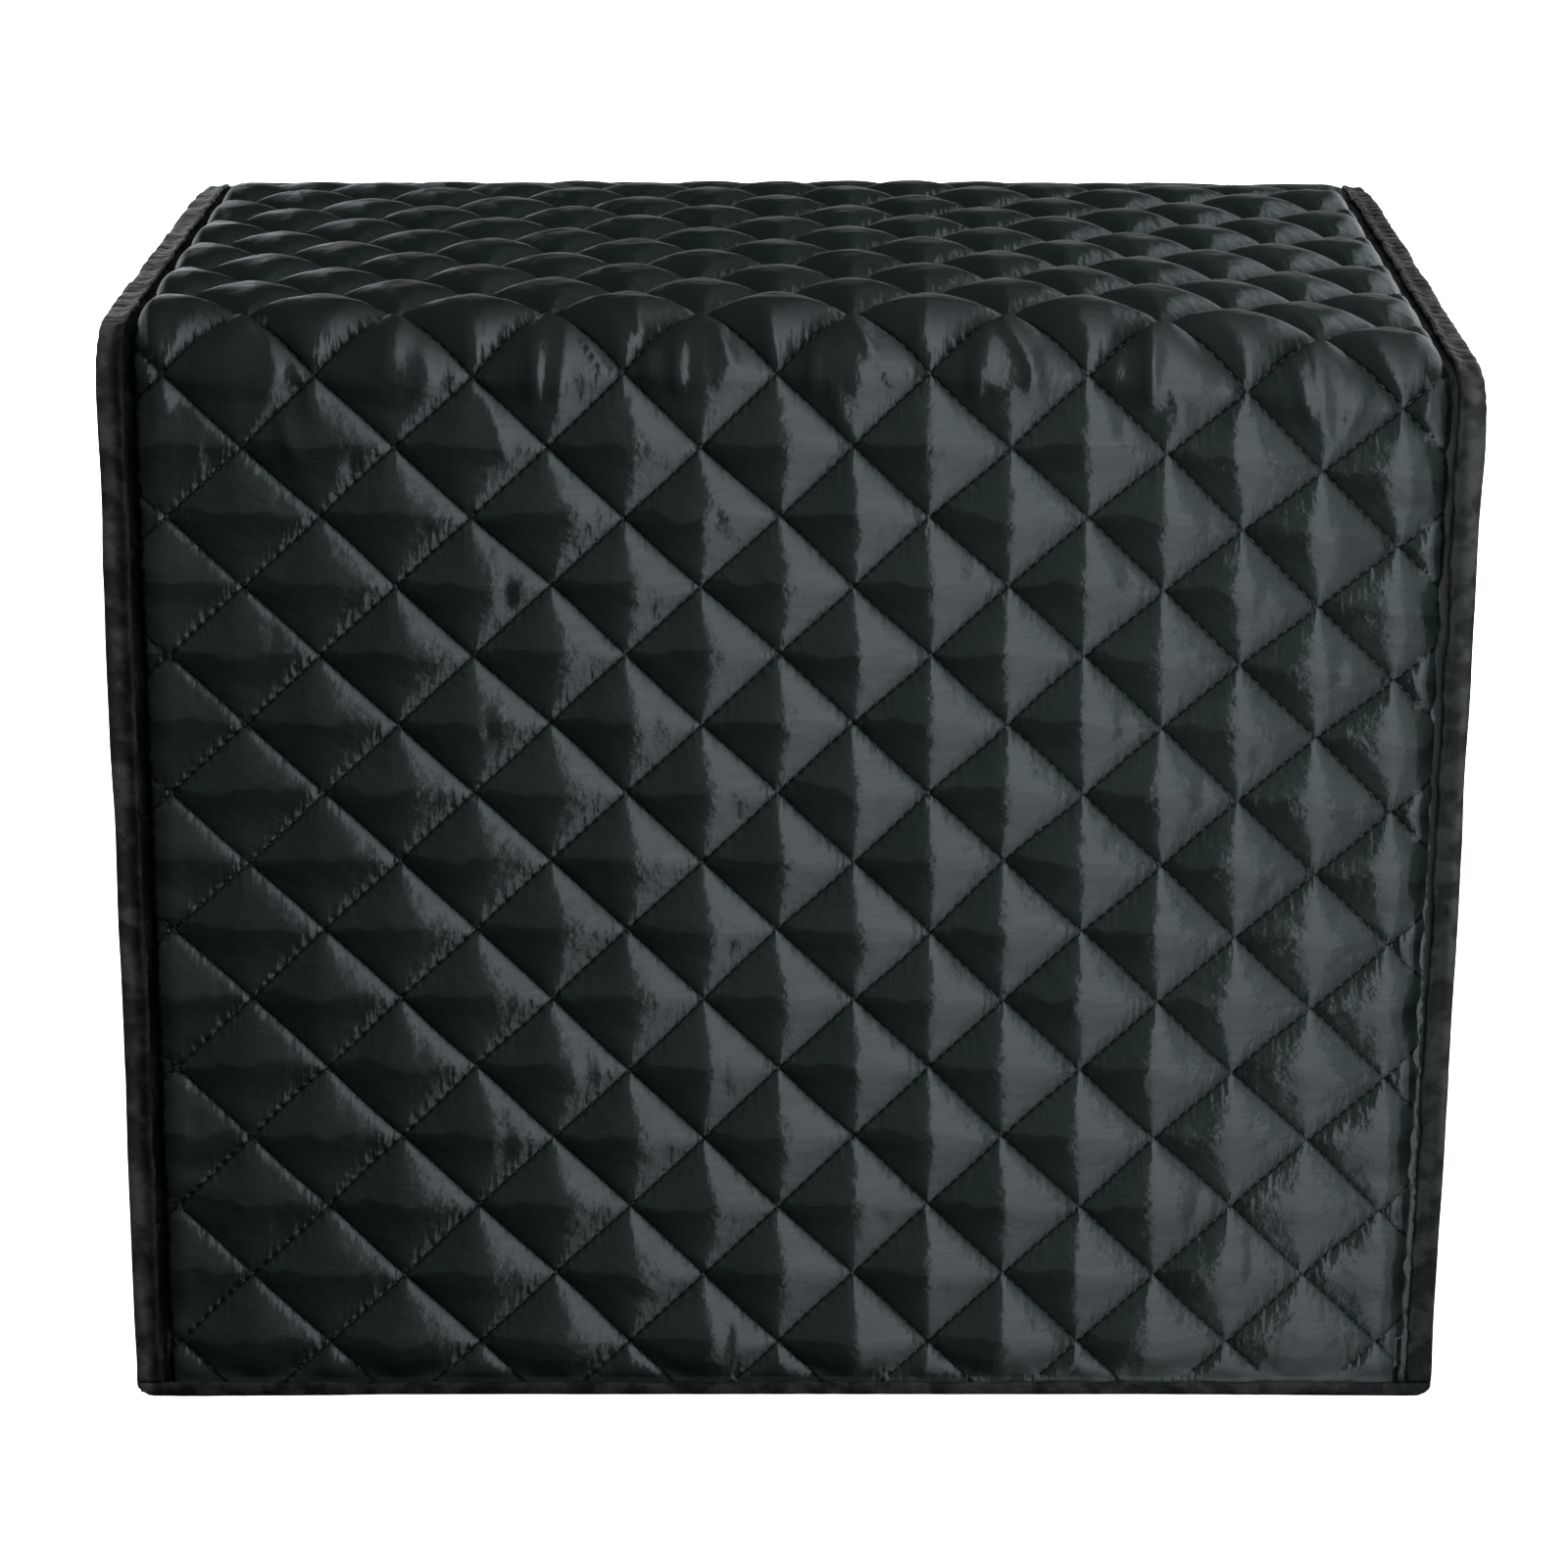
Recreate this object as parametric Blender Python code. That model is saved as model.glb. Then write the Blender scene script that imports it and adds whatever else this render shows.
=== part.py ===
"""Fitted cover for a bread maker: padded cloth quilted in diamonds, open at the bottom.

Six sewn pieces: the main panel (front, top and back in one length), two side panels whose edges
turn out at the seams, a folded tape round each of the two seams and a folded tape round the hem.
The functions work in millimetres and the meshes are in metres. The front faces -Y, up is +Z, and
the origin is at the middle of the hem, on the surface that the hem reaches.
"""
import math

import bmesh
import bpy
from mathutils.geometry import delaunay_2d_cdt

NAME = "bread_maker_cover"
METRES = 0.001

# Driving dimensions, mm
WIDTH = 370.0            # across both seam tapes, at the hem
DEPTH = 262.0            # from the front seam plane to the back seam plane
HEIGHT = 307.0           # from the hem to the top at the seams
FOLD_RADIUS = 11.0       # of the rolls between the front, the top and the back
CLOTH = 2.0              # padded cloth where it is stitched flat
LIP = 1.6                # cloth of a side panel's turned-out edge
TAPE = 1.0               # one layer of binding tape
TAPE_WIDTH = 7.4         # of a folded seam tape, standing outward
HEM_HEIGHT = 4.2         # of the folded hem tape
SEAM_TO_TAPE = 1.1       # from the seam out to its tape
LIP_TURN = 1.0           # the flat cloth goes on this far past a tape's edge
CLEAR = 0.3              # between pieces that are sewn together
TAPE_CHAMFER = 0.6       # at a tape's outer fold

# Quilting: stitch lines run both ways and leave diamonds
DIAMOND_WIDTH = 41.3
DIAMOND_LENGTH = 40.0    # along the length of the main panel
DIAMOND_RISE = 6.5       # how far the middle of a diamond stands out
FULLNESS = 0.7           # below 1 gives rounder diamonds with steeper edges
FIRST_ROW_RUN = 276.4    # a row of diamond middles lies this far up from the front hem
FIRST_COLUMN_X = -1.9
COLUMN_SPREAD = 0.0046   # the columns spread by this share a row toward the front hem
ROW_LIFT = 3.2           # rows half-way down the front ride up this much
ROWS_ON_FRONT = 6.7
SEAM_FADE = 8.0          # the padding thins out over this distance at a seam
HEM_FADE = 9.0
BACK_FOLD_THINNING = 0.8  # cloth pulled tight over the back roll loses this share of its rise
BACK_FOLD_REACH = 32.0

# How the cloth has settled, mm
RIGHT_DROOP = 13.0       # the right front corner hangs lower
DROOP_FROM_X = 70.0      # the droop starts here
DROOP_CURVE = 1.4        # and grows by this power toward the seam
RIGHT_LEAN = 4.3         # the right seam leans out at the top front corner
LEAN_FROM_X = 40.0
LEAN_AT_BACK = 0.2       # share of the lean that is left at the back
TOP_CROWN = 2.2          # the middle of the top stands higher than its seams
CROWN_HALF_DEPTH = 125.0
CROWN_FROM_Z = 280.0
STILL_BELOW = 8.0        # nothing moves this close to the hem
MOST_SHARE = 1.1         # the settling goes on this far past the seam planes

# Steps of the meshes
STRAIGHT_STEP = 20.0
FOLD_STEPS = 5
LINING_COLUMNS = (0.0, 58.0, 100.0, 140.0, 172.0)   # of the main panel's plain inner side
LINING_YS = (-90.0, -30.0, 30.0, 90.0)              # of a side panel's plain inner side
LINING_ZS = (60.0, 112.5, 165.0, 217.5, 270.0)
MAIN_REACH = (5, 16)     # diamonds each way from the first one that can lie on the main panel
SIDE_REACH = (4, 8)
NODE_SPACING = 3.0       # quilt points nearer than this to a seam or a fold row are left out

# Colour and roughness
SATIN = ((0.014, 0.018, 0.017), 0.38)
BINDING = ((0.022, 0.022, 0.022), 0.6)

HALF_WIDTH = WIDTH / 2
FRONT_Y = -DEPTH / 2
BACK_Y = DEPTH / 2
STRAIGHT = HEIGHT - FOLD_RADIUS
ARC = FOLD_RADIUS * math.pi / 2
FRONT_FOLD = STRAIGHT
TOP_START = FRONT_FOLD + ARC
TOP_END = TOP_START + DEPTH - 2 * FOLD_RADIUS
BACK_FOLD_END = TOP_END + ARC
FULL_RUN = BACK_FOLD_END + STRAIGHT

HEM_FLOOR = TAPE + CLEAR                    # height at which the panels' cut edges end
RIM_X = HALF_WIDTH - TAPE - CLEAR           # the cut edges inside the seam tapes
SEAM_X = HALF_WIDTH - TAPE_WIDTH - SEAM_TO_TAPE
HEM_LINE = HEM_HEIGHT + CLEAR + LIP_TURN    # the quilting starts above this
FACE = CLOTH / 2
LIP_OUTSIDE = -FACE - CLEAR
LIP_INSIDE = LIP_OUTSIDE - LIP
SIDE_OUT_X = SEAM_X - LIP_TURN              # outer side of a side panel where it is stitched
SIDE_IN_X = SIDE_OUT_X - CLOTH
BACK_FOLD_MIDDLE = (TOP_END + BACK_FOLD_END) / 2
MIDDLE_X = 2.1           # the middle of the whole width, with the right seam leaning out


def clamp(value, low=0.0, high=1.0):
    return max(low, min(high, value))


def settled(x, y, z):
    """Where a point of the sewn cover comes to rest."""
    up = clamp((z - STILL_BELOW) / (HEIGHT - STILL_BELOW), 0.0, MOST_SHARE)
    front = clamp((BACK_Y - y) / DEPTH)
    right = clamp((x - DROOP_FROM_X) / (HALF_WIDTH - DROOP_FROM_X), 0.0, MOST_SHARE)
    outward = clamp((x - LEAN_FROM_X) / (HALF_WIDTH - LEAN_FROM_X), 0.0, MOST_SHARE)
    across = clamp(1 - (x / SEAM_X) ** 2)
    along = clamp(1 - (y / CROWN_HALF_DEPTH) ** 2)
    on_top = clamp((z - CROWN_FROM_Z) / (HEIGHT - CROWN_FROM_Z))
    lean = RIGHT_LEAN * outward * up * (LEAN_AT_BACK + (1 - LEAN_AT_BACK) * front)
    droop = RIGHT_DROOP * right ** DROOP_CURVE * front * up
    crown = TOP_CROWN * across * along * on_top
    return (x + lean, y, z - droop + crown)


def profile(run, out):
    """Point (y, z) at a run along the seam from the front hem, moved out from the seam plane."""
    if run <= FRONT_FOLD:
        return (FRONT_Y - out, run)
    if run <= TOP_START:
        angle = (run - FRONT_FOLD) / FOLD_RADIUS
        reach = FOLD_RADIUS + out
        return (FRONT_Y + FOLD_RADIUS - reach * math.cos(angle), STRAIGHT + reach * math.sin(angle))
    if run <= TOP_END:
        return (FRONT_Y + FOLD_RADIUS + run - TOP_START, HEIGHT + out)
    if run <= BACK_FOLD_END:
        angle = (run - TOP_END) / FOLD_RADIUS
        reach = FOLD_RADIUS + out
        return (BACK_Y - FOLD_RADIUS + reach * math.sin(angle), STRAIGHT + reach * math.cos(angle))
    return (BACK_Y + out, FULL_RUN - run)


def wrapped(x, run, out):
    """Point of a piece that follows the seam: across, along and outward from the seam plane."""
    y, z = profile(run, out)
    return settled(x, y, z)


def spaced(start, end, step):
    """Evenly spaced values from start to end, both included, about a step apart."""
    count = max(1, round(abs((end - start) / step)))
    return [start + (end - start) * i / count for i in range(count + 1)]


def fold_runs(start):
    return [start + ARC * i / FOLD_STEPS for i in range(FOLD_STEPS + 1)]


def seam_runs(first):
    """Runs along the seam that every piece at the seam shares, from the given height up."""
    front = spaced(0.0, FRONT_FOLD, STRAIGHT_STEP)[1:-1]
    top = spaced(TOP_START, TOP_END, STRAIGHT_STEP)[1:-1]
    back = [FULL_RUN - run for run in reversed(front)]
    runs = [first] + front + fold_runs(FRONT_FOLD) + top + fold_runs(TOP_END) + back
    return runs + [FULL_RUN - first]


def column_x(column, row):
    return FIRST_COLUMN_X + DIAMOND_WIDTH * column * (1 + COLUMN_SPREAD * max(0.0, -row))


def row_run(row):
    lift = ROW_LIFT * math.sin(math.pi * clamp(-row / ROWS_ON_FRONT))
    return FIRST_ROW_RUN + DIAMOND_LENGTH * row + lift


def diamond_rise(column, row):
    """Height of the padding: 0 on the stitch lines and full in the middle of a diamond."""
    rise = 1.0
    for line in (column + row, column - row):
        rise *= math.cos(math.pi * (line - round(line)))
    return DIAMOND_RISE * max(0.0, rise) ** FULLNESS


def fade(distance, reach):
    share = clamp(distance / reach)
    return share * (2 - share)


def quarter_nodes(reach):
    """Quilt grid points, four to a diamond each way, as (quarter column, quarter row)."""
    columns, rows = (4 * diamonds for diamonds in reach)
    return [(a, b) for a in range(-columns, columns + 1) for b in range(-rows, rows + 1)]


def diagonal_edges(nodes):
    """Edges along the stitch lines and across the diamonds, between grid points that are there."""
    edges = []
    for a, b in nodes:
        stitched_up = (a - b) % 4 == 2
        stitched_down = (a + b + 1) % 4 == 2
        crossed_up = (a + b) % 2 == 1 and not stitched_down
        rising = stitched_up or crossed_up
        if rising:
            ends = ((a, b), (a + 1, b + 1))
        else:
            ends = ((a + 1, b), (a, b + 1))
        if ends[0] in nodes and ends[1] in nodes:
            edges.append((nodes[ends[0]], nodes[ends[1]]))
    return edges


def triangles(points, edges):
    """Triangles over points in a plane that keep the given edges."""
    result = delaunay_2d_cdt(points, edges, [], 0, 1e-6)
    if len(result[0]) != len(points):
        raise ValueError("a quilt point lies on an edge")
    return [tuple(face) for face in result[2]]


def loop_edges(indices, closed=True):
    edges = list(zip(indices, indices[1:]))
    if closed:
        edges.append((indices[-1], indices[0]))
    return edges


def add_object(name, mesh_maker, collection, colour, roughness):
    mesh = bpy.data.meshes.new(name)
    bm = bmesh.new()
    mesh_maker(bm)
    bmesh.ops.scale(bm, vec=(METRES, METRES, METRES), verts=bm.verts)
    bmesh.ops.triangulate(bm, faces=[face for face in bm.faces if len(face.verts) > 4])
    bmesh.ops.recalc_face_normals(bm, faces=bm.faces)
    bm.to_mesh(mesh)
    bm.free()
    piece = bpy.data.objects.new(name, mesh)
    collection.objects.link(piece)
    finish(piece, colour, roughness)
    return piece


def finish(piece, colour, roughness):
    piece.location.x = -MIDDLE_X * METRES
    material = bpy.data.materials.new(piece.name)
    material.use_nodes = True
    shader = material.node_tree.nodes["Principled BSDF"]
    shader.inputs["Base Color"].default_value = (*colour, 1.0)
    shader.inputs["Roughness"].default_value = roughness
    shader.inputs["Metallic"].default_value = 0.0
    piece.data.materials.clear()
    piece.data.materials.append(material)


def fold_row_columns(row):
    """Columns where a row on a roll meets the stitch lines and the middles between them."""
    found = []
    reach = math.ceil(abs(row)) + 5
    for half in range(-2 * reach, 2 * reach + 1):
        for column in (half / 2 - row, half / 2 + row):
            if abs(column_x(column, row)) < SEAM_X - NODE_SPACING:
                found.append(column)
    found.sort()
    kept = []
    for column in found:
        if not kept or (column - kept[-1]) * DIAMOND_WIDTH > NODE_SPACING:
            kept.append(column)
    return kept


def stitches_over_roll(rows):
    """Edges that carry the stitch lines from row to row; a row is its number and {column: point}."""
    edges = set()
    for (low_row, low), (high_row, high) in zip(rows, rows[1:]):
        reach = math.ceil(abs(high_row)) + 5
        for n in range(-reach, reach):
            for slope in (-1, 1):
                ends = []
                for row, points in ((low_row, low), (high_row, high)):
                    column = n + 0.5 + slope * row
                    nearest = min(points, key=lambda other: abs(other - column))
                    if abs(nearest - column) * DIAMOND_WIDTH < NODE_SPACING:
                        ends.append(points[nearest])
                if len(ends) == 2:
                    edges.add(tuple(ends))
    return sorted(edges)


def panel_rise(x, run, column, row):
    rise = diamond_rise(column, row)
    rise *= fade(SEAM_X - abs(x), SEAM_FADE)
    rise *= fade(min(run, FULL_RUN - run) - HEM_LINE, HEM_FADE)
    near_back_fold = ((run - BACK_FOLD_MIDDLE) / BACK_FOLD_REACH) ** 2
    return rise * (1 - BACK_FOLD_THINNING * math.exp(-near_back_fold))


def main_panel(bm):
    """Quilted outside and plain inside, wrapped over both rolls, joined round the cut edge."""
    runs = seam_runs(HEM_FLOOR)
    inside = [-x for x in reversed(LINING_COLUMNS[1:])] + list(LINING_COLUMNS)
    columns = [-RIM_X] + inside + [RIM_X]

    points = []
    rises = []

    def put(x, run, rise=0.0):
        points.append((x, run))
        rises.append(rise)
        return len(points) - 1

    edge = [put(x, runs[0]) for x in columns[:-1]]
    edge += [put(RIM_X, run) for run in runs[:-1]]
    edge += [put(x, runs[-1]) for x in reversed(columns[1:])]
    edge += [put(-RIM_X, run) for run in reversed(runs[1:])]
    edges = loop_edges(edge)
    for side in (-1, 1):
        seam = [put(side * SEAM_X, run) for run in runs[1:-1]]
        edges += loop_edges(seam, closed=False)
    for run in (HEM_LINE, FULL_RUN - HEM_LINE):
        flat = spaced(-SEAM_X, SEAM_X, DIAMOND_WIDTH / 4)
        edges += loop_edges([put(x, run) for x in flat], closed=False)

    nodes = {}
    rolls = ((FRONT_FOLD, TOP_START), (TOP_END, BACK_FOLD_END))
    for a, b in quarter_nodes(MAIN_REACH):
        x = column_x(a / 4, b / 4)
        run = row_run(b / 4)
        on_roll = any(start - NODE_SPACING < run < end + NODE_SPACING for start, end in rolls)
        quilted = HEM_LINE + NODE_SPACING < run < FULL_RUN - HEM_LINE - NODE_SPACING
        if abs(x) < SEAM_X - NODE_SPACING and quilted and not on_roll:
            nodes[(a, b)] = put(x, run, panel_rise(x, run, a / 4, b / 4))
    edges += diagonal_edges(nodes)
    for start, end in rolls:
        before = max(b for _, b in nodes if row_run(b / 4) < start)
        after = min(b for _, b in nodes if row_run(b / 4) > end)
        rows = [(before / 4, {a / 4: point for (a, b), point in nodes.items() if b == before})]
        for run in fold_runs(start):
            row = (run - FIRST_ROW_RUN) / DIAMOND_LENGTH
            found = {}
            for column in fold_row_columns(row):
                x = column_x(column, row)
                found[column] = put(x, run, panel_rise(x, run, column, row))
            rows.append((row, found))
        rows.append((after / 4, {a / 4: point for (a, b), point in nodes.items() if b == after}))
        edges += stitches_over_roll(rows)

    outer = [bm.verts.new(wrapped(x, run, FACE + rise)) for (x, run), rise in zip(points, rises)]
    for corners in triangles(points, edges):
        bm.faces.new([outer[i] for i in corners])
    inner = {(x, run): bm.verts.new(wrapped(x, run, -FACE)) for x in columns for run in runs}
    for low, high in zip(runs, runs[1:]):
        for left, right in zip(columns, columns[1:]):
            bm.faces.new([inner[left, low], inner[left, high], inner[right, high], inner[right, low]])
    for i, j in loop_edges(edge):
        bm.faces.new([outer[i], outer[j], inner[points[j]], inner[points[i]]])


def inset_distance(y, z):
    """How far inside a side panel's face a point lies."""
    radius = FOLD_RADIUS + LIP_INSIDE
    dy = abs(y) - (BACK_Y - FOLD_RADIUS)
    dz = z - STRAIGHT
    if dy > 0 and dz > 0:
        return radius - math.hypot(dy, dz)
    return min(radius - dy, radius - dz)


def side_panel(side):
    """Maker of one side panel: a quilted face with its edge turned out along the seam."""

    def make(bm):
        runs = seam_runs(HEM_FLOOR)

        def ring(x, out):
            return [bm.verts.new(wrapped(side * x, run, out)) for run in runs]

        face_ring = ring(SIDE_OUT_X, LIP_INSIDE)
        rings = [face_ring, ring(RIM_X, LIP_INSIDE), ring(RIM_X, LIP_OUTSIDE), ring(SIDE_IN_X, LIP_OUTSIDE)]
        for first, second in zip(rings, rings[1:]):
            for i in range(len(runs) - 1):
                bm.faces.new([first[i], first[i + 1], second[i + 1], second[i]])

        bottom = spaced(BACK_Y, FRONT_Y, 2 * STRAIGHT_STEP)[1:-1]
        outer_bottom = [bm.verts.new(settled(side * SIDE_OUT_X, y, HEM_FLOOR)) for y in bottom]
        inner_bottom = [bm.verts.new(settled(side * SIDE_IN_X, y, HEM_FLOOR)) for y in bottom]

        outline = [profile(run, LIP_INSIDE) for run in runs] + [(y, HEM_FLOOR) for y in bottom]
        verts = face_ring + outer_bottom
        edges = loop_edges(list(range(len(outline))))
        flat = spaced(BACK_Y + LIP_INSIDE - FACE, FRONT_Y - LIP_INSIDE + FACE, DIAMOND_WIDTH / 4)
        edges += loop_edges(list(range(len(outline), len(outline) + len(flat))), closed=False)
        outline += [(y, HEM_LINE) for y in flat]
        verts += [bm.verts.new(settled(side * SIDE_OUT_X, y, HEM_LINE)) for y in flat]
        nodes = {}
        for a, b in quarter_nodes(SIDE_REACH):
            y = DIAMOND_WIDTH * a / 4
            z = FIRST_ROW_RUN + DIAMOND_LENGTH * b / 4
            above_hem = z - HEM_LINE
            distance = inset_distance(y, z)
            if distance > NODE_SPACING and above_hem > NODE_SPACING:
                rise = diamond_rise(a / 4, b / 4) * fade(distance, 2 * SEAM_FADE) * fade(above_hem, HEM_FADE)
                nodes[(a, b)] = len(outline)
                outline.append((y, z))
                verts.append(bm.verts.new(settled(side * (SIDE_OUT_X + rise), y, z)))
        edges += diagonal_edges(nodes)
        for corners in triangles(outline, edges):
            bm.faces.new([verts[i] for i in corners])

        lining = [profile(run, LIP_OUTSIDE) for run in runs] + [(y, HEM_FLOOR) for y in bottom]
        verts = rings[-1] + inner_bottom
        edges = loop_edges(list(range(len(lining))))
        for y in LINING_YS:
            for z in LINING_ZS:
                lining.append((y, z))
                verts.append(bm.verts.new(settled(side * SIDE_IN_X, y, z)))
        for corners in triangles(lining, edges):
            bm.faces.new([verts[i] for i in corners])

        front_end = [layer[0] for layer in reversed(rings)]
        back_end = [layer[-1] for layer in rings]
        bm.faces.new(front_end + outer_bottom[::-1] + back_end + inner_bottom)

    return make


def seam_tape(side):
    """Maker of one seam tape, folded round the two cut edges from hem to hem."""
    inner_edge = HALF_WIDTH - TAPE_WIDTH
    outer_face = FACE + CLEAR + TAPE
    inner_face = LIP_INSIDE - CLEAR - TAPE
    section = [
        (inner_edge, outer_face - TAPE),
        (inner_edge, outer_face),
        (HALF_WIDTH - TAPE_CHAMFER, outer_face),
        (HALF_WIDTH, outer_face - TAPE_CHAMFER),
        (HALF_WIDTH, inner_face + TAPE_CHAMFER),
        (HALF_WIDTH - TAPE_CHAMFER, inner_face),
        (inner_edge, inner_face),
        (inner_edge, inner_face + TAPE),
        (HALF_WIDTH - TAPE, inner_face + TAPE),
        (HALF_WIDTH - TAPE, outer_face - TAPE),
    ]

    def make(bm):
        loops = []
        for run in seam_runs(HEM_HEIGHT + CLEAR):
            loops.append([bm.verts.new(wrapped(side * x, run, out)) for x, out in section])
        for first, second in zip(loops, loops[1:]):
            for i in range(len(section)):
                j = (i + 1) % len(section)
                bm.faces.new([first[i], first[j], second[j], second[i]])
        bm.faces.new(loops[0])
        bm.faces.new(loops[-1])

    return make


def outline_solid(name, loops, bottom, top, collection):
    """Solid between an outer and an inner outline, from a 2D curve, as a mesh object."""
    curve = bpy.data.curves.new(name, "CURVE")
    curve.dimensions = "2D"
    curve.fill_mode = "BOTH"
    curve.extrude = (top - bottom) / 2 * METRES
    for loop in loops:
        spline = curve.splines.new("POLY")
        spline.points.add(len(loop) - 1)
        for point, (x, y) in zip(spline.points, loop):
            point.co = (x * METRES, y * METRES, 0.0, 1.0)
        spline.use_cyclic_u = True
    shaped = bpy.data.objects.new(name + "_curve", curve)
    collection.objects.link(shaped)
    bpy.context.view_layer.update()
    depsgraph = bpy.context.evaluated_depsgraph_get()
    mesh = bpy.data.meshes.new_from_object(shaped.evaluated_get(depsgraph))
    bpy.data.objects.remove(shaped)
    bpy.data.curves.remove(curve)
    mesh.name = name
    bm = bmesh.new()
    bm.from_mesh(mesh)
    bmesh.ops.remove_doubles(bm, verts=bm.verts, dist=0.00001)
    bmesh.ops.translate(bm, vec=(0.0, 0.0, (bottom + top) / 2 * METRES), verts=bm.verts)
    bmesh.ops.recalc_face_normals(bm, faces=bm.faces)
    bm.to_mesh(mesh)
    bm.free()
    piece = bpy.data.objects.new(name, mesh)
    collection.objects.link(piece)
    return piece


def mirrored_outline(quarter):
    """Closed outline from its front right quarter, which runs from the front to the side."""
    right = quarter + [(x, -y) for x, y in reversed(quarter)]
    return right + [(-x, y) for x, y in reversed(right)]


def hem_outlines(grow):
    """Outer and inner outlines round all the cut edges at the hem, moved off them by grow."""
    ear_x = RIM_X + grow
    side_x = SIDE_OUT_X + grow
    front_y = FRONT_Y - FACE - grow
    ear_y = FRONT_Y - LIP_INSIDE + grow
    outer = mirrored_outline([(ear_x, front_y), (ear_x, ear_y), (side_x, ear_y)])
    inner = mirrored_outline([(SIDE_IN_X - grow, FRONT_Y + FACE + grow)])
    return outer, inner


def hem_tape(collection, cutters, colour, roughness):
    """One tape folded up round the cut edges of all the panels, with an ear at each seam."""
    hem = outline_solid("hem_binding", hem_outlines(CLEAR + TAPE), 0.0, HEM_HEIGHT, collection)
    channel = outline_solid("hem_channel", hem_outlines(CLEAR), TAPE, HEM_HEIGHT + TAPE, cutters)
    channel.location.x = -MIDDLE_X * METRES
    channel.hide_render = True
    channel.display_type = "WIRE"
    cut = hem.modifiers.new("channel", "BOOLEAN")
    cut.operation = "DIFFERENCE"
    cut.solver = "EXACT"
    cut.object = channel
    finish(hem, colour, roughness)


def main():
    for old in list(bpy.data.objects):
        bpy.data.objects.remove(old)
    parts = bpy.data.collections.new(NAME)
    cutters = bpy.data.collections.new(NAME + "_cutters")
    for collection in (parts, cutters):
        bpy.context.scene.collection.children.link(collection)
    add_object("main_panel", main_panel, parts, *SATIN)
    for word, side in (("left", -1), ("right", 1)):
        add_object("side_panel_" + word, side_panel(side), parts, *SATIN)
        add_object("seam_binding_" + word, seam_tape(side), parts, *BINDING)
    hem_tape(parts, cutters, *BINDING)


main()
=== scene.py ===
"""Looks of the quilted bread maker cover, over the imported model.

Every CAD node is replaced by a finer mesh of the same piece: the quilted panels with their puckers
and wrinkles, the creased seam tapes, the puckered hem tape and the quilting stitches. The shape
functions work in millimetres in the part's drawing frame, where the seams are symmetric about
x = 0, and place() brings the points to the part's frame in metres.
"""
import math

import bmesh
import bpy
import numpy as np
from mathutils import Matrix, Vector


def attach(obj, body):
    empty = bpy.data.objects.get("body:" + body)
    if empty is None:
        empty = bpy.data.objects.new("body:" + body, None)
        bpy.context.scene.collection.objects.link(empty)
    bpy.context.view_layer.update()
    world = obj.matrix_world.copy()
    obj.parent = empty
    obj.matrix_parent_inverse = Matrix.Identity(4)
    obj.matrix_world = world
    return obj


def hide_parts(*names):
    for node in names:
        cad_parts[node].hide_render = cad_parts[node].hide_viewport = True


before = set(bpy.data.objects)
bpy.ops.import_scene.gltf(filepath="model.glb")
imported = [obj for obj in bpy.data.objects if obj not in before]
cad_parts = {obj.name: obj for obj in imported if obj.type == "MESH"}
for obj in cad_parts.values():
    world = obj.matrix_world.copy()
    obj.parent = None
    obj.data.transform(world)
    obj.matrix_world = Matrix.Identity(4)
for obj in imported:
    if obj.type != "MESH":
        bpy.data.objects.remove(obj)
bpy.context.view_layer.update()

METRES = 0.001

# The part's driving dimensions, mm
WIDTH = 370.0
DEPTH = 262.0
HEIGHT = 307.0
FOLD_RADIUS = 11.0
CLOTH = 2.0
LIP = 1.6
TAPE = 1.0
TAPE_WIDTH = 7.4
HEM_HEIGHT = 4.2
SEAM_TO_TAPE = 1.1
LIP_TURN = 1.0
CLEAR = 0.3
DIAMOND_WIDTH = 41.3
DIAMOND_LENGTH = 40.0
FIRST_ROW_RUN = 276.4
FIRST_COLUMN_X = -1.9
COLUMN_SPREAD = 0.0046
ROW_LIFT = 3.2
ROWS_ON_FRONT = 6.7
SEAM_FADE = 8.0
HEM_FADE = 9.0
BACK_FOLD_THINNING = 0.93
BACK_FOLD_REACH = 32.0
RIGHT_DROOP = 13.0
DROOP_FROM_X = 70.0
DROOP_CURVE = 1.4
RIGHT_LEAN = 4.3
LEAN_FROM_X = 40.0
LEAN_AT_BACK = 0.2
TOP_CROWN = 2.2
CROWN_HALF_DEPTH = 125.0
CROWN_FROM_Z = 280.0
STILL_BELOW = 8.0
MOST_SHARE = 1.1
MIDDLE_X = 2.1

HALF_WIDTH = WIDTH / 2
FRONT_Y = -DEPTH / 2
BACK_Y = DEPTH / 2
STRAIGHT = HEIGHT - FOLD_RADIUS
ARC = FOLD_RADIUS * math.pi / 2
FRONT_FOLD = STRAIGHT
TOP_START = FRONT_FOLD + ARC
TOP_END = TOP_START + DEPTH - 2 * FOLD_RADIUS
BACK_FOLD_END = TOP_END + ARC
FULL_RUN = BACK_FOLD_END + STRAIGHT
HEM_FLOOR = TAPE + CLEAR
RIM_X = HALF_WIDTH - TAPE - CLEAR
SEAM_X = HALF_WIDTH - TAPE_WIDTH - SEAM_TO_TAPE
HEM_LINE = HEM_HEIGHT + CLEAR + LIP_TURN
FACE = CLOTH / 2
LIP_OUTSIDE = -FACE - CLEAR
LIP_INSIDE = LIP_OUTSIDE - LIP
SIDE_OUT_X = SEAM_X - LIP_TURN
SIDE_IN_X = SIDE_OUT_X - CLOTH
BACK_FOLD_MIDDLE = (TOP_END + BACK_FOLD_END) / 2

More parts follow.
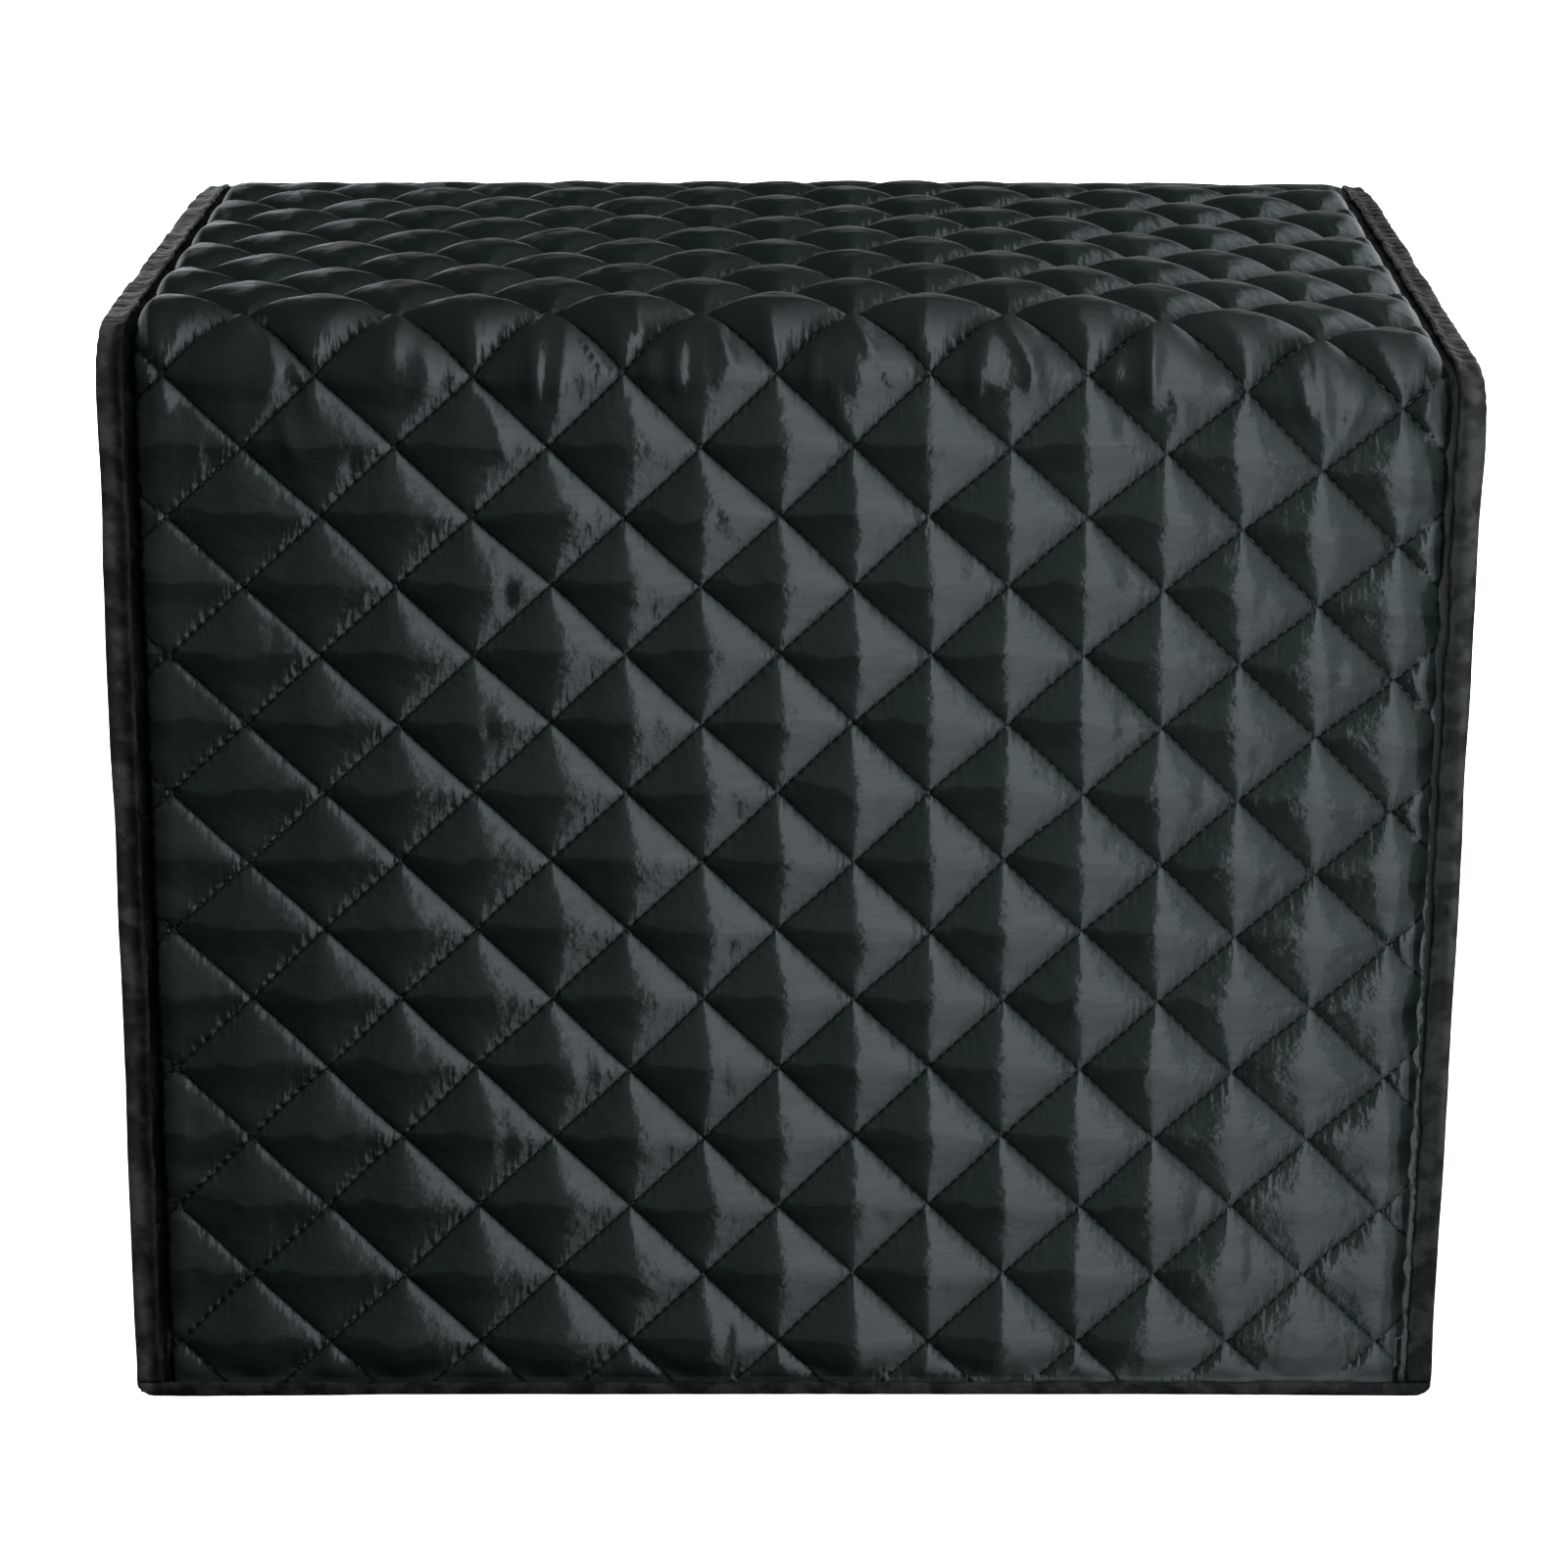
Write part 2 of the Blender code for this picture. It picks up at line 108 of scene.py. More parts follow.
# Fine shape, mm unless it says otherwise
RIDGE_POWER = 4.0  # higher makes the ridges between a pillow's four faces sharper
CREST_SOFTNESS = 0.08  # how far a pillow's crest is rounded, in diamonds
EDGE_POWER = 0.72  # lower makes a pillow steeper at its stitches
FRONT_PUFF = 5.7  # height of a pillow over its stitches
TOP_PUFF = 6.8
LINING_PUFF = 0.7
LEAST_PUFF = 0.94  # share of that height in the flattest pillow
PUFF_SPREAD = 0.12  # and what the fullest has more
SLACK_REACH = 24.0  # run over which the taut front turns into the slack top
SLACK_LEAD = 6.0  # how far before the front fold that starts
SLACK_TAIL = 10.0  # how far past the back fold it ends
BODY_WAVES = ((0.22, 13.0, 6.0), (0.10, 6.0, 2.6))  # height, size across and along
SEAM_REACH = 24.0  # how far from a seam the cloth is drawn into ripples
SEAM_GROOVE = 2.3  # depth and width of the groove in front of a seam
STILL_AT_FOLD = 0.85  # share of the groove that goes over the back fold
STILL_REACH = 26.0
LEFT_FLATTER = 0.2  # share by which the pillows at the far left are lower
LOW_RIGHT_FLATTER = 0.4
DRIFT = 0.7  # how far the quilting strays from its lattice
DRIFT_REACH = 20.0
SEAM_PRESS = 1.2
PRESS_REACH = 22.0
HEM_GAP = 0.8
CORNER_ROOM = 1.5
MARGIN = 1.2  # how far from a seam line the fine mesh of the front ends
FOLDED_EDGE = 1.6
LATTICE_HALF = 176.5  # half the width that whole diamonds are laid out over
LINING_HALF = SEAM_X - 3
TAPE_FOLD = 1.5  # radius of the folded tape
KNOT_PITCH = 5.6
STITCH_PITCH = 3.3
DIAMOND_SIDE = 28.7
STITCH_LENGTH = 2.6
STITCH_RADIUS = 0.3
STITCH_RISE = 0.12  # how far the middle of a stitch stands over the cloth
STITCH_SINK = 0.25  # how far its ends go in
THREAD_FROM_HEM = 5.0
THREAD_FROM_TOP = 2.0
MAIN_COLUMNS = (-4.6, 4.7)
SIDE_COLUMNS = (-3.1, 3.1)
SEAM_COLUMN = 4.3  # column given to the cloth under the seams
TAPE_COLUMN = 4.4
ON_LINE = 1e-4  # share of a diamond within which a point is on its quilting line

# Colours, linear
SATIN_DARK = (0.0052, 0.0078, 0.0070)
SATIN_PALE = (0.0067, 0.0095, 0.0087)
SATIN_THREAD_AND_SHADE = (0.0015, 0.0020, 0.0020)
SATIN_TOP_SHADE = (0.0020, 0.0028, 0.0026)
SATIN_GROOVE_SHADE = (0.0007, 0.0009, 0.0009)
TAPE_DARK = (0.0030, 0.0034, 0.0033)
TAPE_PALE = (0.0095, 0.0100, 0.0096)
TAPE_RIM_HIGHLIGHT_DARK = (0.0085, 0.0088, 0.0085)
TAPE_RIM_HIGHLIGHT_PALE = (0.0240, 0.0245, 0.0240)
THREAD_DARK = (0.004, 0.005, 0.005)
THREAD_PALE = (0.010, 0.012, 0.012)
COOL = (0.85, 0.93, 1.0)

# Painted shading in the satin's colour in the pillows of the front, as shares: at their lower points,
# just under the middle, and over it, lighter and darker as light from above would make them
LOWEST_PAINTED_SHADING = 1.45
DARKEST_PAINTED_SHADING = 0.66
UPPER_PAINTED_SHADING = 1.18

# Depth of the relief in the materials, m
CRUMPLE_DEPTH = 0.0005
PUCKER_DEPTH = 0.00048
TICK_DEPTH = 0.00015  # of the needle marks beside the stitches
SLUB_DEPTH = 0.00005  # of the weave's thick threads
TAPE_FINE_DEPTH = 0.00025
TAPE_BROAD_DEPTH = 0.0012

# Mesh points a diamond, each way
FINE = 24
SIDE_FINE = 20
COARSE = 12
LINING = 6

FLOOR_HALF = 250.0  # m
HEM_ROWS = [HEM_FLOOR, HEM_HEIGHT - 1.0, HEM_LINE]
# Rows of the hem tape: height, how far it is drawn in, and how much it puckers
HEM_LEVELS = (
    (0.0, 0.35, 0.2), (0.35, 0.06, 0.8), (1.4, 0.0, 1.0),
    (2.8, 0.0, 1.0), (3.8, 0.1, 0.9), (4.2, 0.4, 0.5),
)


def clamp(value, low=0.0, high=1.0):
    return np.clip(value, low, high)


def hashed(ix, iy, seed):
    """A number from 0 to 1 for each pair of whole numbers, with no visible order."""
    n = (ix * 374761393 + iy * 668265263 + seed * 974634777) & 0xFFFFFFFF
    n = ((n ^ (n >> 13)) * 1274126177) & 0xFFFFFFFF
    return ((n ^ (n >> 16)) & 0xFFFFFF) / float(0xFFFFFF)


def wander(x, y, seed):
    """Smooth noise from -1 to 1 that changes over about one unit."""
    ix = np.floor(x).astype(np.int64)
    iy = np.floor(y).astype(np.int64)
    fx = x - ix
    fy = y - iy
    sx = fx * fx * (3 - 2 * fx)
    sy = fy * fy * (3 - 2 * fy)
    low = hashed(ix, iy, seed) * (1 - sx) + hashed(ix + 1, iy, seed) * sx
    high = hashed(ix, iy + 1, seed) * (1 - sx) + hashed(ix + 1, iy + 1, seed) * sx
    return 2 * (low * (1 - sy) + high * sy) - 1


def ripple(at, size, seed, height=1.0, across=0.0):
    """Waves of a size and a height along a line."""
    return height * wander(at / size, at * 0 + across, seed)


def settled(x, y, z):
    """Where points of the sewn cover come to rest."""
    up = clamp((z - STILL_BELOW) / (HEIGHT - STILL_BELOW), 0.0, MOST_SHARE)
    front = clamp((BACK_Y - y) / DEPTH)
    right = clamp((x - DROOP_FROM_X) / (HALF_WIDTH - DROOP_FROM_X), 0.0, MOST_SHARE)
    outward = clamp((x - LEAN_FROM_X) / (HALF_WIDTH - LEAN_FROM_X), 0.0, MOST_SHARE)
    across = clamp(1 - (x / SEAM_X) ** 2)
    along = clamp(1 - (y / CROWN_HALF_DEPTH) ** 2)
    on_top = clamp((z - CROWN_FROM_Z) / (HEIGHT - CROWN_FROM_Z))
    lean = RIGHT_LEAN * outward * up * (LEAN_AT_BACK + (1 - LEAN_AT_BACK) * front)
    droop = RIGHT_DROOP * right ** DROOP_CURVE * front * up
    crown = TOP_CROWN * across * along * on_top
    return np.stack([x + lean, y, z - droop + crown], axis=-1)


def profile(run, out):
    """Points (y, z) at a run along the seam from the front hem, moved out from the seam plane."""
    run, out = np.broadcast_arrays(np.asarray(run, float), np.asarray(out, float))
    reach = FOLD_RADIUS + out
    front_angle = (run - FRONT_FOLD) / FOLD_RADIUS
    back_angle = (run - TOP_END) / FOLD_RADIUS
    where = [run <= FRONT_FOLD, run <= TOP_START, run <= TOP_END, run <= BACK_FOLD_END]
    y = np.select(where, [
        FRONT_Y - out,
        FRONT_Y + FOLD_RADIUS - reach * np.cos(front_angle),
        FRONT_Y + FOLD_RADIUS + run - TOP_START,
        BACK_Y - FOLD_RADIUS + reach * np.sin(back_angle),
    ], BACK_Y + out)
    z = np.select(where, [
        run,
        STRAIGHT + reach * np.sin(front_angle),
        HEIGHT + out,
        STRAIGHT + reach * np.cos(back_angle),
    ], FULL_RUN - run)
    return y, z


def wrapped(x, run, out):
    y, z = profile(run, out)
    return settled(np.broadcast_to(np.asarray(x, float), y.shape), y, z)


def spread_at(row):
    return 1 + COLUMN_SPREAD * np.maximum(0.0, -row)


def row_at(run):
    """Row of the plain lattice at a run or a height."""
    return (run - FIRST_ROW_RUN) / DIAMOND_LENGTH


def row_run(row):
    return FIRST_ROW_RUN + DIAMOND_LENGTH * row + ROW_LIFT * np.sin(math.pi * clamp(-row / ROWS_ON_FRONT))


def fade(distance, reach):
    share = clamp(distance / reach)
    return share * (2 - share)


def pillow(column, row, slack=0.0):
    """Height of a quilted pillow from 0 on its stitches to 1, four soft faces with ridges between.

    slack rounds it into a dome.
    """
    inside = []
    for line in (column + row, column - row):
        off = np.hypot(line - np.round(line), CREST_SOFTNESS) - CREST_SOFTNESS
        inside.append(np.maximum(1e-6, 1 - off / (math.hypot(0.5, CREST_SOFTNESS) - CREST_SOFTNESS)))
    a, b = ((1 - slack) * face + slack * np.sin(math.pi / 2 * face) for face in inside)
    low = (a ** -RIDGE_POWER + b ** -RIDGE_POWER) ** (-1 / RIDGE_POWER) * 2 ** (1 / RIDGE_POWER)
    return low ** EDGE_POWER


def bump(distance, width):
    return np.exp(-((distance / width) ** 2))


# ---- meshes


def linked(name, data):
    """A new object in the scene."""
    made = bpy.data.objects.new(name, data)
    bpy.context.scene.collection.objects.link(made)
    return made


class Shell:
    """Points and faces of one closed piece, gathered row by row."""

    def __init__(self):
        self.points = []
        self.uvs = []
        self.faces = []
        self.count = 0

    def add(self, points, uv):
        """Adds points in metres with their quilt coordinates, and returns their indices."""
        first = self.count
        points = np.asarray(points).reshape(-1, 3)
        self.points.append(points)
        self.uvs.append(np.broadcast_to(np.asarray(uv, float), (len(points), 2)))
        self.count += len(points)
        return np.arange(first, self.count)

    def quads(self, low, high, rising=None):
        """Triangles between two rows of the same length; rising says which diagonal each cell takes."""
        a, b, c, d = low[:-1], low[1:], high[1:], high[:-1]
        if rising is None:
            rising = np.zeros(len(a), bool)
        first = np.where(rising[:, None], np.stack([a, b, c], 1), np.stack([a, b, d], 1))
        second = np.where(rising[:, None], np.stack([a, c, d], 1), np.stack([b, c, d], 1))
        self.faces.append(np.concatenate([first, second]))

    def strips(self, rows):
        for low, high in zip(rows, rows[1:]):
            self.quads(low, high)

    def zip(self, low, low_at, high, high_at):
        """Triangles between two rows of different lengths, joined where they are nearest."""
        i = j = 0
        made = []
        while i < len(low) - 1 or j < len(high) - 1:
            step_low = j == len(high) - 1 or (i < len(low) - 1 and low_at[i + 1] <= high_at[j + 1])
            if step_low:
                made.append((low[i], low[i + 1], high[j]))
                i += 1
            else:
                made.append((low[i], high[j + 1], high[j]))
                j += 1
        self.faces.append(np.array(made))

    def piece(self, name, material, sharp=None):
        mesh = bpy.data.meshes.new(name)
        points = np.concatenate(self.points)
        faces = np.concatenate(self.faces)
        mesh.from_pydata(points.tolist(), [], faces.tolist())
        uv = np.concatenate(self.uvs)
        layer = mesh.uv_layers.new(name="quilt")
        corner = np.empty(len(mesh.loops), np.int32)
        mesh.loops.foreach_get("vertex_index", corner)
        layer.data.foreach_set("uv", uv[corner].astype(np.float32).ravel())
        bm = bmesh.new()
        bm.from_mesh(mesh)
        bmesh.ops.recalc_face_normals(bm, faces=bm.faces)
        for edge in bm.edges if sharp else ():
            edge.smooth = not sharp(*(vert.index for vert in edge.verts))
        for face in bm.faces:
            face.smooth = True
        bm.to_mesh(mesh)
        bm.free()
        mesh.materials.append(material)
        return linked(name, mesh)


def place(points):
    """Settled points in mm to the part's frame in metres."""
    return (points - np.array([MIDDLE_X, 0.0, 0.0])) * METRES


def drawn_in(x, last):
    """x with its outer part drawn in so that nothing passes last."""
    edge = 150.0
    outer = np.abs(x).max()
    if outer <= last:
        return x
    over = np.abs(x) > edge
    inner = edge + (np.abs(x) - edge) * (last - edge) / (outer - edge)
    return np.where(over, np.sign(x) * inner, x)


def column_steps(per_diamond, half):
    first = math.ceil((-half - FIRST_COLUMN_X) / DIAMOND_WIDTH * per_diamond)
    last = math.floor((half - FIRST_COLUMN_X) / DIAMOND_WIDTH * per_diamond)
    return np.arange(first, last + 1)


def row_steps(per_diamond, first_run, last_run):
    rows = np.arange(-8 * per_diamond, 16 * per_diamond + 1) / per_diamond
    runs = row_run(rows)
    return rows[(runs > first_run) & (runs < last_run)]


# Wrinkles seen in the photo at the front fold: x, run, width, length, rise, slant
FOLD_WRINKLES = [
    (-171, 297, 2, 9, 0.9, 0.25),
    (-165, 296, 2, 11, 0.9, 0.3),
    (-134, 282, 2.2, 10, 1.3, -0.3),
    (-67.5, 296, 1.7, 7, 2.1, 0.05),
    (-52, 302, 1.4, 5, 1.6, -0.85),
    (-28, 297, 1.6, 6.5, 2, 0),
    (-15, 301, 1.3, 5, 1.1, -0.8),
    (8, 297, 1.6, 6, 1.5, 0),
    (23, 302, 1.4, 5, 1.6, -0.8),
    (52, 297, 1.7, 7, 2, 0),
    (64, 301, 1.3, 5, 1.2, -0.7),
    (96, 296, 2.2, 12, 1.3, 0.1),
    (105, 288, 1.8, 9, 0.9, -0.25),
    (137.5, 295, 1.7, 8, 1.3, -0.3),
    (149.5, 292, 1.9, 9, 1.4, 0.35),
    (160, 300, 2.6, 11, 1.2, -0.3),
    (168, 290, 2, 10, 1, 0.1),
]


def fold_streaks():
    """More wrinkles where the cloth bends over the front fold, raised and sunk."""
    rng = np.random.default_rng(41)
    streaks = []
    for column in np.arange(-4.5, 5.0, 0.5):
        middle = FIRST_COLUMN_X + DIAMOND_WIDTH * column
        if abs(middle) > SEAM_X:
            continue
        for _ in range(2):
            raised = rng.uniform(0, 1) < 0.62
            streaks.append((
                middle + rng.uniform(-8, 10),
                rng.uniform(284, 305),
                rng.uniform(1.6, 2.3),
                rng.uniform(6, 13),
                rng.uniform(0.9, 1.5) if raised else -rng.uniform(0.4, 0.7),
                rng.uniform(-0.35, 0.35),
            ))
    return streaks


def pillow_dents():
    """Narrow upright dents in some pillows of the front, to the right of their middles."""
    rng = np.random.default_rng(7)
    dents = []
    for twice_row in range(-13, 1):
        for twice_column in range(-8, 9):
            if (twice_row + twice_column) % 2 or rng.random() > 0.4:
                continue
            row = twice_row / 2
            x = FIRST_COLUMN_X + DIAMOND_WIDTH * twice_column / 2 * spread_at(row)
            dents.append((
                x + rng.uniform(4, 13),
                row_run(row) + rng.uniform(-6, 5),
                rng.uniform(1.3, 1.9),
                rng.uniform(3.5, 6.5),
                -rng.uniform(0.35, 0.8),
                rng.uniform(-0.15, 0.15),
            ))
    return dents


WRINKLES = fold_streaks() + FOLD_WRINKLES + pillow_dents()


def pillow_height(column, row, seed):
    """Share of the full height that each pillow of a panel has."""
    u = np.round(column + row).astype(np.int64)
    v = np.round(column - row).astype(np.int64)
    return LEAST_PUFF + PUFF_SPREAD * hashed(u, v, seed)


def body_waves(across, along, body, seed):
    """The two soft waves that run over the pillows."""
    return [
        height * body * wander(across / wide, along / long, seed + k)
        for k, (height, wide, long) in enumerate(BODY_WAVES)
    ]


def panel_out(x, run, column, row):
    """How far the main panel's outer face stands from its seam plane."""
    tightening = clamp((run - FRONT_FOLD + SLACK_LEAD) / SLACK_REACH)
    slack = tightening * clamp((BACK_FOLD_END + SLACK_TAIL - run) / SLACK_REACH)
    height = (FRONT_PUFF + (TOP_PUFF - FRONT_PUFF) * slack) * pillow_height(column, row, 3)
    at_left = clamp((-x - 105) / 45)
    at_low_right = clamp((x - 80) / 60) * clamp((180 - run) / 130)
    height = height * (1 - LEFT_FLATTER * (1 - slack) * at_left)
    height = height * (1 - LOW_RIGHT_FLATTER * at_low_right)
    puff = pillow(column, row, slack)
    near_seam = fade(SEAM_X - np.abs(x), SEAM_FADE)
    near_hem = fade(np.minimum(run, FULL_RUN - run) - HEM_LINE, HEM_FADE)
    thin = 1 - BACK_FOLD_THINNING * bump(run - BACK_FOLD_MIDDLE, BACK_FOLD_REACH)
    body = puff * near_seam * near_hem
    broad, narrow = body_waves(x, run, body, 11)
    rise = height * puff * near_seam * near_hem * thin + broad + narrow
    at_edge = 1 - clamp((SEAM_X - np.abs(x)) / SEAM_REACH)
    on_front = clamp((FRONT_FOLD - run) / 10)
    rise = rise + (0.4 + 0.7 * on_front) * at_edge * near_hem * wander(x / 20, run / 5.0, 13)
    rise = rise + 0.35 * bump(run - HEM_LINE - 2.5, 3.0) * wander(x / 2.6, run / 9, 14)
    for middle_x, middle_run, wide, long, high, slant in WRINKLES:
        near_x = np.abs(x - middle_x) < 3 * wide + 1.5 * long * abs(slant)
        near = near_x & (np.abs(run - middle_run) < 3 * long)
        up = run[near] - middle_run
        aside = (x[near] - middle_x - slant * up) / wide
        rise[near] += high * np.exp(-(aside ** 2) - (up / long) ** 2) * np.minimum(1, 2.5 * body[near])
    groove = SEAM_GROOVE * bump(np.abs(x) - SEAM_X, SEAM_GROOVE)
    return FACE + rise - groove * (1 - STILL_AT_FOLD * bump(run - BACK_FOLD_MIDDLE, STILL_REACH))


def drifted(x, run):
    """Points of the main panel moved a little, so that its quilting isn't quite regular."""
    from_hem = np.minimum(run, FULL_RUN - run) - 8
    shift = clamp((SEAM_X - np.abs(x)) / DRIFT_REACH) * clamp(from_hem / DRIFT_REACH)
    moved_x = x + DRIFT * shift * wander(x / 31, run / 27, 21)
    return moved_x, run + DRIFT * shift * wander(x / 29, run / 33, 22)


def pressed(run):
    """How far the seam's layers are pressed together over the back fold."""
    return SEAM_PRESS * bump(run - BACK_FOLD_MIDDLE, PRESS_REACH)


def stitched_edges(shell, count):
    """A test for edges that lie along a quilting line, among a shell's first count points."""
    uv = np.concatenate(shell.uvs)
    sums = (uv[:, 0] + uv[:, 1], uv[:, 0] - uv[:, 1])
    directions = [(at, np.abs(at - np.floor(at) - 0.5) < ON_LINE) for at in sums]

    def stitched(one, other):
        return max(one, other) < count and any(
            on_line[one] and on_line[other] and abs(at[one] - at[other]) < ON_LINE
            for at, on_line in directions
        )

    return stitched


class Row:
    """One row of points across the main panel's outer face."""

    def __init__(self, run, density, row=None):
        self.run = run
        self.density = density
        self.row = row if row is not None else row_at(run)
        most_spread = spread_at(row_at(HEM_FLOOR))
        spread = spread_at(self.row)
        self.steps = column_steps(density, LATTICE_HALF / most_spread)
        x = FIRST_COLUMN_X + DIAMOND_WIDTH * self.steps / density * spread
        strip = [SEAM_X, SEAM_X + FOLDED_EDGE, RIM_X]
        self.side_points = len(strip) + density // 4
        left = np.linspace(-SEAM_X + MARGIN, x[0], density // 4 + 1)[:-1]
        right = np.linspace(x[-1], SEAM_X - MARGIN, density // 4 + 1)[1:]
        self.x = np.concatenate([[-s for s in reversed(strip)], left, x, right, strip])
        self.column = (self.x - FIRST_COLUMN_X) / DIAMOND_WIDTH / spread

    def rising(self):
        """Which diagonal each cell above this row takes, so that edges follow the stitches."""
        n = self.density
        i = self.steps[0] - self.side_points + np.arange(len(self.x) - 1)
        j = round(self.row * n)
        stitched_up = (i - j) % n == n // 2
        stitched_down = (i + j + 1) % n == n // 2
        return stitched_up | (~stitched_down & ((i - j) % 2 == 0))


def outer_rows():
    """The rows of the main panel, fine up the front and over the top, coarse down the back."""
    switch = row_run(row_at(BACK_FOLD_END)) + 6
    rows = [Row(run, FINE) for run in HEM_ROWS]
    for density, low, high in (
        (FINE, HEM_LINE + HEM_GAP, switch),
        (COARSE, switch + 0.5, FULL_RUN - HEM_LINE - HEM_GAP),
    ):
        rows += [Row(row_run(row), density, row) for row in row_steps(density, low, high)]
    return rows + [Row(FULL_RUN - run, COARSE) for run in reversed(HEM_ROWS)]


def main_panel(material):
    shell = Shell()
    rows = outer_rows()
    x = np.concatenate([row.x for row in rows])
    run = np.concatenate([np.full(len(row.x), row.run) for row in rows])
    column = np.concatenate([row.column for row in rows])
    exact = np.concatenate([np.full(len(row.x), row.row) for row in rows])
    out = panel_out(x, run, column, exact)
    at_hem = (run < HEM_LINE + 0.01) | (run > FULL_RUN - HEM_LINE - 0.01)
    flat = at_hem | (np.abs(x) > SEAM_X + 1.0)
    out = np.where(flat, np.minimum(out, FACE - pressed(run)), out)
    ids = shell.add(place(wrapped(*drifted(x, run), out)), np.stack([column, exact], 1))
    lines = np.split(ids, np.cumsum([len(row.x) for row in rows])[:-1])
    for low, high, line, next_line in zip(rows, rows[1:], lines, lines[1:]):
        if low.density == high.density:
            shell.quads(line, next_line, low.rising())
        else:
            shell.zip(line, low.x, next_line, high.x)

    inner_lines = []
    inner_x = []
    inner_runs = [HEM_FLOOR, *row_run(row_steps(LINING, HEM_LINE, FULL_RUN - HEM_LINE))]
    inner_runs.append(FULL_RUN - HEM_FLOOR)
    for run in inner_runs:
        row = row_at(run)
        spread = spread_at(row)
        steps = column_steps(LINING, LINING_HALF)
        x = drawn_in(FIRST_COLUMN_X + DIAMOND_WIDTH * steps / LINING * spread, LINING_HALF)
        x = np.concatenate([[-RIM_X, -SEAM_X + 0.5], x, [SEAM_X - 0.5, RIM_X]])
        column = (x - FIRST_COLUMN_X) / DIAMOND_WIDTH / spread
        rows_here = np.full(len(x), row)
        puff = pillow(column, rows_here) * fade(SEAM_X - 4 - np.abs(x), SEAM_FADE)
        puff = puff * fade(min(run, FULL_RUN - run) - HEM_LINE - 2, HEM_FADE)
        points = place(wrapped(x, np.full(len(x), run), -FACE - LINING_PUFF * puff))
        inner_lines.append(shell.add(points, np.stack([column, rows_here], 1)))
        inner_x.append(x)
    shell.strips(inner_lines)
    for end in (0, -1):
        shell.zip(lines[end], rows[end].x, inner_lines[end], inner_x[end])
    for side in (0, -1):
        shell.zip([line[side] for line in lines], [row.run for row in rows],
                  [line[side] for line in inner_lines], inner_runs)
    return shell.piece("main_panel_cloth", material, stitched_edges(shell, len(ids)))


def inset_distance(y, z):
    """How far a side panel's point is from its seam."""
    radius = FOLD_RADIUS + LIP_INSIDE
    dy = np.abs(y) - (BACK_Y - FOLD_RADIUS)
    dz = z - STRAIGHT
    corner = radius - np.hypot(dy, dz)
    return np.where((dy > 0) & (dz > 0), corner, np.minimum(radius - dy, radius - dz))


def side_out(y, z):
    """How far a side panel's outer face stands from the plane of its stitches."""
    column = y / DIAMOND_WIDTH
    row = row_at(z)
    distance = inset_distance(y, z)
    near_hem = fade(z - HEM_LINE, HEM_FADE)
    body = pillow(column, row) * fade(distance, 2 * SEAM_FADE) * near_hem
    broad, narrow = body_waves(y, z, body, 31)
    rise = FRONT_PUFF * pillow_height(column, row, 5) * body + broad + narrow
    edge = 1 - clamp(distance / SEAM_REACH)
    return rise + 0.4 * edge * fade(distance, 6) * near_hem * wander(y / 14, z / 7, 33)


def outer_x(y, z):
    return SIDE_OUT_X + side_out(y, z) * (inset_distance(y, z) > 0.05)


def inner_x(y, z):
    row = row_at(z)
    puff = pillow(y / DIAMOND_WIDTH, row) * fade(inset_distance(y, z) - 2, 2 * SEAM_FADE)
    return SIDE_IN_X - LINING_PUFF * puff * fade(z - HEM_LINE - 2, HEM_FADE)


def side_face(shell, side, per_diamond, out, x_of):
    """One face of a side panel: its rows of points, their y, and its border with its seam runs."""
    radius = FOLD_RADIUS + out
    z = FIRST_ROW_RUN + DIAMOND_LENGTH * (np.arange(-8 * per_diamond, per_diamond) / per_diamond)
    z = z[(z > HEM_LINE + HEM_GAP) & (z < STRAIGHT - HEM_GAP)]
    arc = [STRAIGHT + radius * math.sin(a) for a in np.linspace(0, math.pi / 2, 9)]
    heights = HEM_ROWS + list(z) + arc
    flat = BACK_Y - FOLD_RADIUS
    straight = DIAMOND_WIDTH * np.arange(-4 * per_diamond, 4 * per_diamond + 1) / per_diamond
    last = flat - CORNER_ROOM
    straight = straight[np.abs(straight) < last]
    lines = []
    ys = []
    for z in heights:
        over = clamp((z - STRAIGHT) / radius)
        half = flat + radius * math.sqrt(1 - over ** 2) if z < HEIGHT + out - 1e-6 else flat
        extra = last + np.linspace(0, 1, 7)[1:] * (half - last)
        y = np.concatenate([-extra[::-1], straight, extra])
        z_row = np.full(len(y), z)
        uv = np.stack([y / DIAMOND_WIDTH, row_at(z_row)], 1)
        lines.append(shell.add(place(settled(side * x_of(y, z_row), y, z_row)), uv))
        ys.append(y)
    shell.strips(lines)
    border = [line[0] for line in lines] + list(lines[-1][1:-1]) + [line[-1] for line in lines[::-1]]
    up = [min(z, STRAIGHT) + FOLD_RADIUS * math.asin(clamp((z - STRAIGHT) / radius)) for z in heights]
    over = [TOP_START + y - (FRONT_Y + FOLD_RADIUS) for y in ys[-1][1:-1]]
    return lines, ys, border, up + over + [FULL_RUN - run for run in reversed(up)]


def seam_runs(start, *numbers):
    """Runs along a seam, with a number of points for each of its straight parts and folds."""
    turns = [start, FRONT_FOLD, TOP_START, TOP_END, BACK_FOLD_END, FULL_RUN - start]
    parts = [np.linspace(*ends)[:-1] for ends in zip(turns, turns[1:], numbers)]
    return np.append(np.concatenate(parts), turns[-1])


